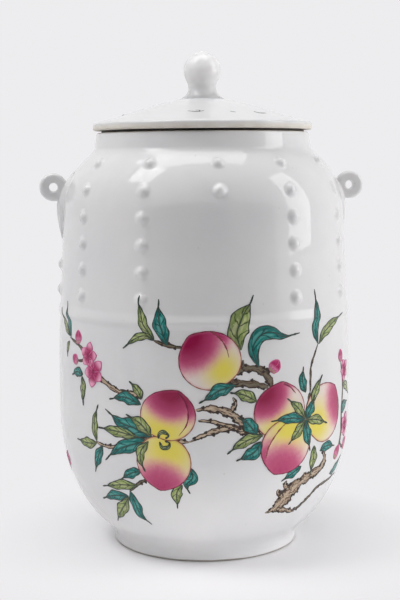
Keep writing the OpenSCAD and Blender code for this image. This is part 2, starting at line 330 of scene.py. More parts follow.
def lid_outline():
    """Whole section of the lid: underside, collar, edge, dome."""
    inner = COLLAR_IN_R - EDGE_ROUND
    points = [(r, dome_height(r) - LID_T) for r in between(0, inner, 20)]
    points += corner(inner, dome_height(inner) - LID_T - EDGE_ROUND, EDGE_ROUND, 90, 0, 4)
    points += [(COLLAR_IN_R, z) for z in (208, 204, 200.5)]
    points += corner(COLLAR_IN_R + EDGE_ROUND, COLLAR_Z + EDGE_ROUND, EDGE_ROUND, 180, 270, 4)
    points += corner(COLLAR_R - EDGE_ROUND, COLLAR_Z + EDGE_ROUND, EDGE_ROUND, 270, 360, 4)
    points += [(COLLAR_R, z) for z in (202, 206, LID_Z - 0.3)]
    points += [(COLLAR_R + 0.3, LID_Z), (50, LID_Z)]
    points += corner(LID_R - LID_UNDER_ROUND, LID_Z + LID_UNDER_ROUND, LID_UNDER_ROUND, 270, 360)
    points += [(LID_R, LID_Z + 1.6)]
    points += corner(LID_R - LID_ROUND, LID_EDGE_Z - 1.1, LID_ROUND, 0, 72, 8)
    points += [(r, dome_height(r)) for r in between(LID_R - 1.6, 0, 44)]
    return points + [(0, DOME_TOP_Z)]


def knob_outline():
    """Whole section of the knob: foot, stem, bud."""
    stem_z = DOME_TOP_Z + 0.21 * KNOB_H
    wide_z = DOME_TOP_Z + 0.57 * KNOB_H
    top_z = DOME_TOP_Z + KNOB_H
    foot_r = KNOB_STEM_R + 4
    points = [(0, dome_height(foot_r) - 1), (foot_r - 1.5, dome_height(foot_r) - 1)]
    points += [(foot_r + 0.3, dome_height(foot_r + 0.3) - 0.2)]
    points += curve((foot_r + 0.2, dome_height(foot_r)), (KNOB_STEM_R + 1.4, DOME_TOP_Z + 0.5),
                    (KNOB_STEM_R, stem_z - 2.6), (KNOB_STEM_R, stem_z), 14)
    points += curve((KNOB_STEM_R, stem_z), (KNOB_STEM_R, stem_z + 3.2),
                    (KNOB_R, wide_z - 4.2), (KNOB_R, wide_z), 16)
    points += curve((KNOB_R, wide_z), (KNOB_R, wide_z + 5.6), (0.52 * KNOB_R, top_z - 1.5), (0, top_z), 22)
    return points + [(0, top_z)]


def seal_outline():
    """Section of the ring, a closed loop: sleeve, two grip ribs and flange."""
    points = [(SLEEVE_IN_R, z) for z in (LID_Z, 207, 204, 201.5, SLEEVE_Z)]
    points += [(SLEEVE_OUT_R - 0.3, SLEEVE_Z), (SLEEVE_OUT_R, SLEEVE_Z + 0.3)]
    for rib_z in (SLEEVE_Z + 2.5, SLEEVE_Z + 5):
        points += [(SLEEVE_OUT_R + 0.2 * math.cos(a), rib_z + 0.5 * math.sin(a))
                   for a in (-1.57, -0.8, 0, 0.8, 1.57)]
    points += [(SLEEVE_OUT_R, RIM_Z - 0.05), (SLEEVE_OUT_R + 0.1, RIM_Z + 0.03)]
    points += corner(FLANGE_R - FLANGE_ROUND, RIM_Z + 0.43, FLANGE_ROUND, 270, 360, 4)
    return points + corner(FLANGE_R - FLANGE_ROUND, LID_Z - 0.43, FLANGE_ROUND, 0, 90, 4)


# Meshes


def link_object(name, data):
    """Object in the scene that holds a mesh, a lamp or a camera."""
    made = bpy.data.objects.new(name, data)
    bpy.context.scene.collection.objects.link(made)
    return made


def finish_mesh(name, points, faces, layers=None):
    """Object from points in metres, with outward faces, smooth shading and UV layers by point."""
    mesh = bpy.data.meshes.new(name)
    mesh.from_pydata(points, [], faces)
    for layer, values in (layers or {}).items():
        uv = mesh.uv_layers.new(name=layer)
        for loop in mesh.loops:
            uv.data[loop.index].uv = values[loop.vertex_index]
    body = bmesh.new()
    body.from_mesh(mesh)
    bmesh.ops.recalc_face_normals(body, faces=body.faces)
    for face in body.faces:
        face.smooth = True
    body.to_mesh(mesh)
    body.free()
    return link_object(name, mesh)


def turned(name, outline, segments, closed=False):
    """Piece turned about the z axis from its outline."""
    rings = []
    points = []
    for r, z in outline:
        count = 1 if r < 1e-6 else segments
        rings.append((len(points), count))
        for k in range(count):
            a = FULL_TURN * k / segments
            points.append((r * math.cos(a) * MM, r * math.sin(a) * MM, z * MM))
    faces = []
    following = rings[1:] + rings[:1] if closed else rings[1:]
    for (low, low_n), (high, high_n) in zip(rings, following):
        for k in range(segments):
            n = (k + 1) % segments
            if low_n == 1:
                faces.append((low, high + n, high + k))
            elif high_n == 1:
                faces.append((low + k, low + n, high))
            else:
                faces.append((low + k, low + n, high + n, high + k))
    return finish_mesh(name, points, faces)


def grid_faces(height, width):
    """Faces of a grid of points, listed row by row."""
    starts = [i * width + j for i in range(height - 1) for j in range(width - 1)]
    return [(k, k + 1, k + width + 1, k + width) for k in starts]


def dish_faces(rings, segments):
    """Faces of a middle point with rings of points round it, and the places of the last ring."""
    faces = [(0, 1 + k, 1 + (k + 1) % segments) for k in range(segments)]
    last = 1 + (rings - 1) * segments
    for low in range(1, last, segments):
        for k in range(segments):
            n = (k + 1) % segments
            faces.append((low + k, low + segments + k, low + segments + n, low + n))
    return faces, [last + k for k in range(segments)]


def on_jar(p, z, lift):
    """Point above the jar's skin in metres; p is the way round at the belly, in millimetres."""
    slope = jar_slope(z)
    size = math.hypot(1, slope)
    r = jar_radius(z) + lift / size
    turn = p / BELLY_R
    return (r * math.sin(turn) * MM, -r * math.cos(turn) * MM, (z - lift * slope / size) * MM)


def stud_span(row):
    """First and last stud of a row, counted from the lowest place."""
    return (4 if row % 6 == 0 else 0), (1 if row % 6 == 3 else 5)


def stud_profile(rho):
    """Height of a stud at a distance from its middle, as a part of its full height."""
    return math.exp(-((rho / 2.5) ** 2.8))


def on_glaze(p, z, lift):
    """Point above the jar's skin or above the stud that stands there."""
    pitch = FULL_TURN * BELLY_R / STUD_ROWS
    row = round(p / pitch)
    k = round((z - STUD_LOW_Z) / STUD_PITCH)
    first, last = stud_span(row)
    if first <= k <= last:
        rho = math.hypot((p - row * pitch) * jar_radius(z) / BELLY_R, z - STUD_LOW_Z - STUD_PITCH * k)
        lift += bpy.context.scene.canister_form.stud_relief / MM * stud_profile(rho)
    return on_jar(p, z, lift)


def on_lid(x, y, lift):
    """Point above the lid's dome in metres, from places in millimetres."""
    return (x * MM, y * MM, (dome_height(math.hypot(x, y)) + lift) * MM)


# Paths on the unrolled skin, as lists of vectors in millimetres


def heading(turn):
    """Unit vector at an angle from upright."""
    return Vector((math.sin(turn), math.cos(turn)))


def angle_off(a, b):
    """Angle from b to a, between minus and plus half a turn."""
    return (a - b + math.pi) % FULL_TURN - math.pi


def smooth_path(points, steps):
    """Smooth line through the points, with so many steps between each two."""
    ends = [points[0] * 2 - points[1]] + list(points) + [points[-1] * 2 - points[-2]]
    path = []
    for a, b, c, d in zip(ends, ends[1:], ends[2:], ends[3:]):
        for i in range(steps):
            t = i / steps
            path.append(0.5 * ((2 * b) + (c - a) * t + (2 * a - 5 * b + 4 * c - d) * t * t
                               + (3 * b - a - 3 * c + d) * t ** 3))
    return path + [points[-1].copy()]


def round_path(centre, edge, segments):
    """Closed path round a centre; edge gives its distance by angle."""
    angles = [FULL_TURN * k / segments for k in range(segments + 1)]
    return [centre + heading(a) * edge(a) for a in angles]


def sides(path):
    """Unit vectors to the left of a path at each of its points."""
    out = []
    for i in range(len(path)):
        along = path[min(i + 1, len(path) - 1)] - path[max(i - 1, 0)]
        along = along.normalized() if along.length > 1e-9 else Vector((1, 0))
        out.append(Vector((-along.y, along.x)))
    return out


def runs(path):
    """Way along a path to each of its points."""
    way = [0.0]
    for a, b in zip(path, path[1:]):
        way.append(way[-1] + (b - a).length)
    return way


def edges(rows):
    """First and last spots of rows of spots."""
    return [row[0] for row in rows], [row[-1] for row in rows]


class Enamel:
    """Thin raised enamel shapes of one colour, gathered into one mesh on a carrier's skin."""

    SINK = -0.05
    BASE_LIFT = 0.03
    CROWN = 0.03
    STROKE_CROWN = 0.012
    LEAF_TIP = 0.84

    def __init__(self, place, step):
        self.place = place
        self.step = step
        self.points = []
        self.faces = []
        self.paint = []
        self.rim = []

    def rim_lift(self, layer):
        return self.BASE_LIFT + self.step * layer

    def add(self, spots, paint, rim, lifts, faces, border):
        """Close a shape: its face on top, the same faces below it and a wall round its border."""
        base = len(self.points)
        under = base + len(spots)
        for lift_list in (lifts, [self.SINK] * len(spots)):
            for place, lift in zip(spots, lift_list):
                self.points.append(self.place(place[0], place[1], lift))
            self.paint += paint
            self.rim += rim
        for face in faces:
            self.faces.append([base + i for i in face])
            self.faces.append([under + i for i in reversed(face)])
        for i, j in zip(border, border[1:] + border[:1]):
            self.faces.append((base + j, base + i, under + i, under + j))

    def sheet(self, rows, along, cross, rim, low, crown):
        """Shape from rows of spots across it, each some way along, and highest in its middle."""
        height = len(rows)
        width = len(cross)
        border = list(range(width))
        border += [i * width + width - 1 for i in range(1, height)]
        border += [(height - 1) * width + j for j in range(width - 2, -1, -1)]
        border += [i * width for i in range(height - 2, 0, -1)]
        spots = [place for row in rows for place in row]
        paint = [(t, 0.5 + 0.5 * v) for t in along for v in cross]
        rim = [cell for row in rim for cell in row]
        lifts = [low + crown * (1 - v * v) for v in cross] * height
        self.add(spots, paint, rim, lifts, grid_faces(height, width), border)

    def disc(self, centre, radius_at, layer, crown, rings, segments, paint_at=None):
        """Shape round a centre; radius_at gives its edge by angle."""
        low = self.rim_lift(layer)
        spots = [centre.copy()]
        paint = [paint_at(centre) if paint_at else (0.5, 0.5)]
        rim = [(0.0, 0.0)]
        lifts = [low + crown]
        for ring in range(1, rings + 1):
            q = ring / rings
            for k in range(segments):
                a = FULL_TURN * k / segments
                out = heading(a) * q
                place = centre + out * radius_at(a)
                spots.append(place)
                paint.append(paint_at(place) if paint_at else (0.5 + 0.5 * out.x, 0.5 + 0.5 * out.y))
                rim.append((q, 0.0))
                lifts.append(low + crown * (1 - q ** 3))
        self.add(spots, paint, rim, lifts, *dish_faces(rings, segments))

    def stroke(self, path, width, layer, ends=(0.25, 0.25), tone=0.0, raise_by=0.035):
        """Brush line along a path, thin at its ends."""
        cross = (-1, 0, 1)
        way = runs(path)
        last = len(path) - 1
        rows = []
        rim = []
        for i, (place, side) in enumerate(zip(path, sides(path))):
            t = i / last
            thin = min(1, t / ends[0] if ends[0] else 1, (1 - t) / ends[1] if ends[1] else 1)
            swell = 1 + 0.3 * math.sin(way[i] * 1.3 + path[0].x)
            half = width / 2 * swell * (0.2 + 0.8 * math.sin(QUARTER * max(0, thin)))
            rows.append([place + side * half * v for v in cross])
            rim.append([(t, tone)] * len(cross))
        low = self.rim_lift(layer) + raise_by
        self.sheet(rows, [run / 10 for run in way], cross, rim, low, self.STROKE_CROWN)

    def leaf(self, path, width, layer):
        """Slender leaf along a path from its stalk to its drawn-out tip; gives back its edges."""
        cross = (-1, -0.7, -0.36, 0, 0.36, 0.7, 1)
        way = runs(path)
        along = [run / way[-1] for run in way]
        phase = path[0].x + path[-1].y
        rows = []
        for place, side, t in zip(path, sides(path), along):
            bulge = math.sin(math.pi * (t / self.LEAF_TIP) ** 0.95) ** 0.95 if 0 < t < self.LEAF_TIP else 0
            wave = [1 + 0.13 * math.sin(15 * t + phase + 2.4 * (v > 0)) for v in cross]
            rows.append([place + side * max(0.16, width / 2 * bulge * w) * v for v, w in zip(cross, wave)])
        rim = [[(abs(v), 0.0) for v in cross]] * len(rows)
        self.sheet(rows, along, cross, rim, self.rim_lift(layer), self.CROWN)
        return edges(rows)

    def make(self, name, body, material):
        """Object of all the shapes, riding on its carrier."""
        piece = finish_mesh(name, self.points, self.faces, {"Paint": self.paint, "Rim": self.rim})
        settle(piece, body, "porcelain", material)


def settle(piece, body, slot, material, *nodes):
    """Give a piece its finish and its carrier, and hide the CAD nodes that it stands for."""
    piece.data.materials.clear()
    piece.data.materials.append(material)
    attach(piece, body)
    if nodes:
        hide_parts(*nodes)


# Finishes


class Nodes:
    """Node tree with short ways to add to it. A value is a number, a colour or another node's socket."""

    def __init__(self, tree):
        self.tree = tree

    def put(self, socket, value):
        """Link or set an input."""
        if isinstance(value, bpy.types.NodeSocket):
            self.tree.links.new(value, socket)
        else:
            socket.default_value = (*value, 1) if socket.type == "RGBA" else value

    def give(self, node, **values):
        """Set a node's inputs and settings; names of inputs are written with underscores."""
        for key, value in values.items():
            label = key.replace("_", " ")
            if label in node.inputs:
                self.put(node.inputs[label], value)
            else:
                setattr(node, key, value)
        return node

    def add(self, kind, **values):
        return self.give(self.tree.nodes.new(kind), **values)

    def fill(self, node, values, start=0):
        """Set a node's inputs in their order."""
        for index, value in enumerate(values):
            self.put(node.inputs[start + index], value)

    def shift(self, value, low, high, to_low=0.0, to_high=1.0, smooth=False):
        """Value moved from one range to another."""
        node = self.add("ShaderNodeMapRange", interpolation_type="SMOOTHSTEP" if smooth else "LINEAR",
                        Value=value, From_Min=low, From_Max=high, To_Min=to_low, To_Max=to_high)
        return node.outputs["Result"]

    def calc(self, kind, first, second=0.0):
        node = self.add("ShaderNodeMath", operation=kind)
        self.fill(node, (first, second))
        return node.outputs["Value"]

    def stretch(self, vector, amounts):
        node = self.add("ShaderNodeVectorMath", operation="MULTIPLY")
        self.fill(node, (vector, amounts))
        return node.outputs["Vector"]

    def mix(self, factor, first, second, blend="MIX"):
        """Blend of two colours."""
        node = self.add("ShaderNodeMix", data_type="RGBA", blend_type=blend)
        self.fill(node, (factor,))
        self.fill(node, (first, second), 6)
        return node.outputs[2]

    def mix_numbers(self, factor, first, second):
        node = self.add("ShaderNodeMix", data_type="FLOAT")
        self.fill(node, (factor,))
        self.fill(node, (first, second), 2)
        return node.outputs[0]

    def mix_shaders(self, factor, first, second, output):
        """Mix of two shaders as the surface of a material or a world."""
        node = self.add("ShaderNodeMixShader")
        self.fill(node, (factor, first, second))
        self.give(self.tree.nodes[output], Surface=node.outputs["Shader"])

    def noise(self, vector, scale, detail=3.0, roughness=0.5, distortion=0.0):
        node = self.add("ShaderNodeTexNoise", Vector=vector, Scale=scale, Detail=detail,
                        Roughness=roughness, Distortion=distortion)
        return node.outputs["Fac"]

    def split(self, vector):
        return self.add("ShaderNodeSeparateXYZ", Vector=vector).outputs

    def effect(self, name, build, **values):
        """Outputs of a shared node group, which build fills at its first use."""
        tree = bpy.data.node_groups.get(name)
        if tree is None:
            tree = bpy.data.node_groups.new(name, "ShaderNodeTree")
            for label, value in values.items():
                kind = "NodeSocketFloat" if isinstance(value, float) else "NodeSocketVector"
                tree.interface.new_socket(name=label, in_out="INPUT", socket_type=kind)
            inner = Nodes(tree)
            results = build(inner, inner.add("NodeGroupInput").outputs)
            for label in results:
                tree.interface.new_socket(name=label, in_out="OUTPUT", socket_type="NodeSocketFloat")
            inner.add("NodeGroupOutput", **results)
        return self.add("ShaderNodeGroup", node_tree=tree, **values).outputs


def fired_glaze(nodes, given):
    """Slow waves, thin grey clouds and rare iron specks."""
    place = given["Position"]
    fine = nodes.noise(place, 320, 2)
    cells = nodes.add("ShaderNodeTexVoronoi", Vector=place, Scale=210)
    near = nodes.shift(cells.outputs["Distance"], 0.045, 0.12, 1, 0)
    rare = nodes.shift(nodes.noise(place, 90, 1), 0.62, 0.7)
    return {
        "Cloud": nodes.shift(nodes.noise(place, 26, 4, 0.55, 0.4), 0.35, 0.75),
        "Speck": nodes.calc("MULTIPLY", near, rare),
        "Roughness": nodes.calc("MULTIPLY", nodes.shift(fine, 0.3, 0.7, 0.8, 1.3), given["Roughness"]),
        "Height": nodes.calc("ADD", nodes.noise(place, 70, 2, 0.4), nodes.calc("MULTIPLY", fine, 0.06)),
    }


def bare_clay(nodes, given):
    """Fine grain, turning lines and small stains."""
    place = given["Position"]
    grain = nodes.noise(place, 1800, 3, 0.6)
    lines = nodes.noise(nodes.stretch(place, (30, 30, 2600)), 1, 2)
    return {
        "Stain": nodes.shift(nodes.noise(place, 120, 5, 0.65), 0.32, 0.7),
        "Roughness": nodes.shift(grain, 0.3, 0.7, 0.62, 0.82),
        "Height": nodes.calc("ADD", grain, lines),
    }


def brushed_enamel(nodes, given):
    """Uneven thickness, brush streaks along the stroke and a soft gloss."""
    streak = nodes.noise(nodes.stretch(given["Brush"], (2.5, 14, 1)), 1, 3, 0.6)
    blot = nodes.noise(given["Position"], 420, 4, 0.6, 0.5)
    return {
        "Shade": nodes.shift(nodes.mix_numbers(given["Streaks"], blot, streak), 0.3, 0.7),
        "Roughness": nodes.shift(blot, 0.3, 0.7, 0.1, 0.22),
        "Height": nodes.calc("ADD", blot, nodes.calc("MULTIPLY", streak, 0.5)),
    }


def leaf_veins(nodes, given):
    """Veins from a leaf's own length and breadth."""
    leaf = nodes.split(given["Leaf"])
    across = nodes.calc("SUBTRACT", leaf["Y"], 0.5)
    breadth = nodes.calc("MULTIPLY", nodes.calc("ABSOLUTE", across), 2)
    drawn = nodes.shift(nodes.noise(given["Leaf"], 6, 2), 0.3, 0.7, -0.03, 0.03)
    lean = nodes.calc("SUBTRACT", leaf["X"], nodes.calc("MULTIPLY", breadth, given["Slant"]))
    lean = nodes.calc("ADD", lean, drawn)
    wave = nodes.calc("PINGPONG", nodes.calc("MULTIPLY", lean, given["Count"]), 0.5)
    fade = nodes.shift(breadth, 0.7, 1.0, 1, 0.4)
    side_vein = nodes.calc("MULTIPLY", nodes.shift(wave, 0.05, 0.16, 1, 0), fade)
    return {
        "Vein": nodes.calc("MAXIMUM", side_vein, nodes.shift(breadth, 0.05, 0.16, 1, 0)),
        "Half": nodes.shift(across, -0.06, 0.06),
        "Length": leaf["X"],
    }


class Finish(Nodes):
    """Material in the making: its shader, the place in the object's own frame and its colour so far."""

    def __init__(self, name, colour):
        self.material = bpy.data.materials.new(name)
        self.material.use_nodes = True
        super().__init__(self.material.node_tree)
        self.shader = self.tree.nodes["Principled BSDF"]
        self.place = self.add("ShaderNodeTexCoord").outputs["Object"]
        self.colour = colour

    def wash(self, factor, tone):
        """Lay a tone over the colour so far."""
        self.colour = self.mix(factor, self.colour, tone)

    def bump(self, height, distance):
        node = self.add("ShaderNodeBump", Height=height, Distance=distance, Strength=1.0)
        self.give(self.shader, Normal=node.outputs["Normal"])

    def done(self, **values):
        """The material, with its colour and other inputs of the shader."""
        self.give(self.shader, Base_Color=self.colour, **values)
        return self.material


def porcelain(name, bare_below=None, bare_above=None, soft=BARE_SOFT):
    """White glaze that stops at heights in millimetres, with bare clay beyond them, darkened at the very
    bottom by grime and painted contact shade.
    """
    if name in bpy.data.materials:
        return bpy.data.materials[name]
    tones = bpy.context.scene.canister_glaze
    white = Finish(name, tones.glaze)
    glaze = white.effect("Fired Glaze", fired_glaze, Position=white.place, Roughness=tones.body)
    white.wash(glaze["Cloud"], tones.pooled)
    white.wash(white.shift(glaze["Speck"], 0, 1, 0, 0.22), IRON_SPECK)
    rough = glaze["Roughness"]
    height = glaze["Height"]
    coat = 1.0
    if bare_below or bare_above:
        up = white.split(white.place)["Z"]
        wander = white.shift(white.noise(white.place, 60, 3), 0.3, 0.7, -0.00025, 0.00025)
        level = white.calc("ADD", up, wander)
        bare = 0.0
        for limit, ends in ((bare_below, (1, 0)), (bare_above, (0, 1))):
            if limit:
                beyond = white.shift(level, (limit - soft) * MM, (limit + soft) * MM, *ends)
                bare = white.calc("MAXIMUM", bare, beyond)
        clay = white.effect("Bare Clay", bare_clay, Position=white.place)
        clay_colour = white.mix(clay["Stain"], tones.clay, STAINED_CLAY)
        # Within 3 mm of the ground the bare clay darkens: partly grime, partly painted contact shade where
        # the foot meets the table
        white.wash(bare, white.mix(white.shift(up, 0, 3 * MM, 0.7, 0), clay_colour, GRIME_AND_CONTACT_SHADE))
        rough = white.mix_numbers(bare, rough, clay["Roughness"])
        grain = white.calc("MULTIPLY", bare, white.calc("SUBTRACT", clay["Height"], 1.4))
        height = white.calc("ADD", height, grain)
        coat = white.calc("SUBTRACT", 1.0, bare)
    white.bump(height, GLAZE_BUMP)
    return white.done(Roughness=rough, Coat_Weight=coat, Coat_Roughness=tones.gloss)


def lucent(name, depth):
    """Porcelain of a small piece, into which light goes to a depth in metres."""
    material = porcelain(name)
    inputs = material.node_tree.nodes["Principled BSDF"].inputs
    inputs["Subsurface Weight"].default_value = 1.0
    inputs["Subsurface Scale"].default_value = depth
    inputs["Subsurface Radius"].default_value = (1.0, 0.95, 0.9)
    return material


def rubber():
    """Dark soft ring with a dusty bloom."""
    soft = Finish("soft_seal", bpy.context.scene.canister_glaze.seal)
    bloom = soft.noise(soft.place, 160, 4, 0.6)
    soft.wash(soft.shift(bloom, 0.45, 0.8), SEAL_DUST)
    soft.bump(soft.noise(soft.place, 1500, 2), SEAL_BUMP)
    return soft.done(Roughness=soft.shift(bloom, 0.3, 0.7, 0.5, 0.72))


class EnamelFinish(Finish):
    """Enamel in the making: a brushed film, and the paint and rim maps of its shapes."""

    def __init__(self, name, streaks, colour):
        super().__init__(name, colour)
        self.paint = self.add("ShaderNodeUVMap", uv_map="Paint").outputs["UV"]
        self.edge = self.split(self.add("ShaderNodeUVMap", uv_map="Rim").outputs["UV"])
        film = self.effect("Brushed Enamel", brushed_enamel, Position=self.place, Brush=self.paint,
                           Streaks=streaks)
        self.shade = film["Shade"]
        self.bump(film["Height"], ENAMEL_BUMP)
        self.give(self.shader, Roughness=film["Roughness"], Specular_IOR_Level=0.3)


def leaf_enamel(name, body, dark, pale):
    """Leaf with pale washes, a darker half, dark veins and a dark drawn-out tip."""
    leaf = EnamelFinish(name, 0.6, body)
    veins = leaf.effect("Leaf Veins", leaf_veins, Leaf=leaf.paint, Count=5.0, Slant=0.2)
    leaf.wash(leaf.shift(leaf.noise(leaf.paint, 4.5, 2, 0.5, 0.8), 0.4, 0.62, 0, 0.85), pale)
    leaf.wash(leaf.calc("MULTIPLY", veins["Half"], 0.25), dark)
    leaf.wash(leaf.shift(leaf.shade, 0.4, 1, 0, 0.3), dark)
    stalk = leaf.shift(veins["Length"], 0, 0.3, 0.6, 0)
    tip = leaf.shift(veins["Length"], 0.66, 0.86, 0, 0.9)
    leaf.wash(leaf.calc("MAXIMUM", stalk, tip), dark)
    leaf.wash(leaf.shift(leaf.edge["X"], 0.8, 1.0, 0, 0.4), dark)
    leaf.wash(leaf.shift(veins["Vein"], 0, 1, 0, 0.9), dark)
    return leaf.done()


def peach_enamel():
    """Pale flesh with a ripe glow and a blush: paint x is nearness to the blush, paint y to the glow."""
    tones = bpy.context.scene.canister_spray
    peach = EnamelFinish("peach_enamel", 0.15, tones.flesh)
    near = peach.split(peach.paint)
    peach.wash(peach.shift(near["Y"], 0.0, 0.9, smooth=True), tones.yellow)
    blush = peach.calc("ADD", near["X"], peach.shift(peach.shade, 0, 1, -0.02, 0.02))
    ramp = peach.add("ShaderNodeValToRGB", Fac=blush)
    stops = ((0.1, BLUSH_RIM), (0.3, tones.pink), (0.5, BLUSH_FULL), (0.74, tones.crimson))
    band = ramp.color_ramp
    while len(band.elements) < len(stops):
        band.elements.new(0.5)
    for element, (at, tone) in zip(band.elements, stops):
        element.position = at
        element.color = (*tone, 1)
    peach.wash(peach.shift(blush, 0.06, 0.42, smooth=True), ramp.outputs["Color"])
    peach.wash(peach.shift(peach.edge["X"], 0.9, 1.0, 0, 0.35), tones.pink)
    return peach.done()


def line_enamel(name, first, second):
    """Drawn line; the rim map's y turns it from the first tone to the second."""
    ink = EnamelFinish(name, 0.8, first)
    ink.wash(ink.edge["Y"], second)
    ink.colour = ink.mix(ink.shift(ink.shade, 0.5, 1, 0, 0.35), ink.colour, DRY_BRUSH, "SCREEN")
    return ink.done()


def branch_enamel():
    """Streaky bark; the rim map's y turns it darker."""
    bark = EnamelFinish("branch_enamel", 0.9, bpy.context.scene.canister_spray.branch)
    bark.wash(bark.shift(bark.shade, 0.3, 0.75), BARK_SHADE)
    bark.wash(bark.edge["Y"], BARK_DARK)
    bark.wash(bark.shift(bark.edge["X"], 0.4, 1.0, 0, 0.8), BARK_EDGE)
    return bark.done()


def petal_enamel():
    """Petals with a deep heart, a soft pink body and pale washes."""
    petal = EnamelFinish("petal_enamel", 0.5, bpy.context.scene.canister_spray.petal)
    petal.wash(petal.shift(petal.split(petal.paint)["X"], 0.36, 0.86, 1, 0, True), PETAL_HEART)
    petal.wash(petal.shift(petal.shade, 0.4, 1, 0, 0.35), PETAL_WASH)
    petal.wash(petal.shift(petal.edge["X"], 0.8, 1.0, 0, 0.4), PETAL_EDGE)
    return petal.done()


# The painted spray. Places are degrees to the right of the front and millimetres of height.

# Leaves: tone, layer, breadth, points from the stalk to the tip
LEAVES = (
    ("teal", 1, 3.6, ((-67.5, 109), (-70, 117.5), (-71.5, 121), (-72.5, 126))),
    ("green", 1, 3.4, ((-68.5, 109.5), (-73, 113.5), (-79.5, 122))),
    ("green", 1, 2.6, ((-69, 107), (-70.5, 104), (-71, 99))),
    ("teal", 4, 4.4, ((-58, 92.5), (-62, 93.2), (-66, 91))),
    ("green", 4, 3.8, ((-58.5, 91.5), (-57.8, 87), (-58.2, 83), (-58, 77.5))),
    ("teal", 1, 6.6, ((-19.8, 110), (-21.8, 117), (-23, 124), (-23, 131))),
    ("green", 1, 4.2, ((-24.6, 112), (-28.4, 118.5), (-30.2, 126), (-30.2, 132.5))),
    ("green", 1, 3.4, ((-24.6, 112), (-28.3, 114), (-32.6, 112), (-37.2, 107.5))),
    ("green", 4, 3.8, ((-29.5, 84.5), (-31, 88.5), (-34.5, 92.5))),
    ("teal", 1, 5.4, ((-29.8, 82), (-36.5, 84.8), (-43.5, 83))),
    ("teal", 1, 7.4, ((-25.5, 67), (-32, 70.5), (-38.2, 72.5), (-45.5, 78))),
    ("green", 4, 5.6, ((-26, 67.5), (-30, 73), (-36, 76.8))),
    ("green", 1, 5.4, ((-31, 66.5), (-40, 68.2), (-49.8, 68.6))),
    ("teal", 1, 6.6, ((-26.5, 65), (-32, 63.5), (-37.5, 60.8), (-42, 58), (-46.8, 53))),
    ("green", 4, 4.4, ((-27, 65), (-30, 60.5), (-30.6, 55.5), (-29, 50))),
    ("green", 1, 3.8, ((-50.5, 61.5), (-51.3, 67), (-51, 73), (-49.2, 79.5))),
    ("green", 1, 5.0, ((-50.5, 60.5), (-56.7, 59.6), (-63.5, 60))),
    ("teal", 1, 4.8, ((-47.5, 60), (-50.3, 54.5), (-54, 45.5))),
    ("teal", 1, 4.8, ((-30.8, 50), (-35, 48.6), (-40.5, 44.5))),
    ("green", 1, 5.0, ((-33, 42.5), (-41, 41.6), (-51.5, 38.8))),
    ("teal", 1, 5.0, ((-38.5, 36), (-45.5, 35.2), (-54.5, 31.5))),
    ("green", 1, 5.8, ((-38.5, 35.5), (-43, 29.5), (-52, 19.5))),
    ("teal", 1, 5.8, ((-37.2, 39), (-36, 32.5), (-35, 26.5), (-31, 21.5))),
    ("teal", 1, 4.8, ((-12.2, 53.5), (-11, 48.5), (-13.4, 44.5), (-12.2, 40))),
    ("green", 1, 5.2, ((-15, 44.5), (-17.3, 40.5), (-17.6, 32))),
    ("green", 1, 10.2, ((6.7, 107.5), (5.4, 116), (8.2, 124.5), (10.2, 128), (11.8, 132.5))),
    ("teal", 1, 6.8, ((13.4, 99.5), (11.2, 107.4), (13.8, 113.4), (18.5, 115), (23.6, 112.6), (31, 113.5))),
    ("teal", 4, 5.8, ((4.6, 91.5), (-1, 89.5), (-4.5, 86.6), (-8.5, 83.5))),
    ("green", 4, 5.4, ((12.5, 83.5), (7.5, 87), (2.5, 88.2))),
    ("green", 4, 4.6, ((33, 73), (29.5, 78.5), (24.8, 83.5))),
    ("teal", 4, 5.0, ((33, 72.5), (26, 74), (18, 73.5))),
    ("teal", 4, 5.0, ((33.6, 72.5), (36.2, 77.5), (38.2, 83))),
    ("green", 4, 4.2, ((36.5, 79), (39, 85.5), (42.8, 92))),
    ("green", 4, 4.6, ((33.6, 72), (39.5, 71), (46, 68))),
    ("teal", 4, 5.2, ((33.4, 72), (34.2, 65), (36.4, 56.5))),
    ("green", 4, 4.8, ((33, 72), (30, 67.5), (25.4, 61.5))),
    ("teal", 1, 4.6, ((33.4, 85), (31.8, 91), (32.4, 97.5))),
    ("teal", 1, 4.8, ((40.6, 107), (39.2, 114.8), (40.6, 122.5), (39.6, 133))),
    ("green", 1, 5.0, ((41, 107), (46.5, 113.2), (60, 119.5))),
    ("teal", 4, 6.2, ((12.5, 68), (9, 73.5), (5.4, 76.5))),
    ("green", 4, 5.0, ((14.7, 67.5), (9.7, 66), (5.3, 63.2), (1.5, 59.5))),
    ("teal", 4, 6.2, ((14.3, 64.5), (11.2, 59.5), (4.8, 56))),
    ("green", 1, 4.8, ((38.6, 58.5), (39, 52), (38.6, 43.5))),
    ("teal", 1, 4.8, ((42.5, 55), (47, 56.5), (53.5, 55))),
    ("teal", 1, 4.6, ((32.8, 49.5), (29, 47), (24, 43.5))),
    ("teal", 1, 4.8, ((58, 70), (62, 73.5), (67, 74.5))),
    ("green", 1, 4.4, ((60, 84), (64.5, 82.5), (69, 77.5))),
    ("teal", 1, 4.6, ((55, 40), (60, 42), (65, 47))),
    ("green", 1, 3.4, ((-86, 39.5), (-90, 43.5), (-96, 46))),
    ("teal", 1, 3.6, ((-87, 38.3), (-92, 34.5), (-97.5, 33))),
    ("green", 4, 1.6, ((-23.2, 66.6), (-22.8, 69), (-20.8, 69.8), (-19.4, 68.2), (-20.6, 66.8))),
    ("green", 4, 1.6, ((-22.8, 65.2), (-21.8, 62.6), (-19.8, 62.6), (-19.2, 64.8), (-20.8, 65.6))),
)

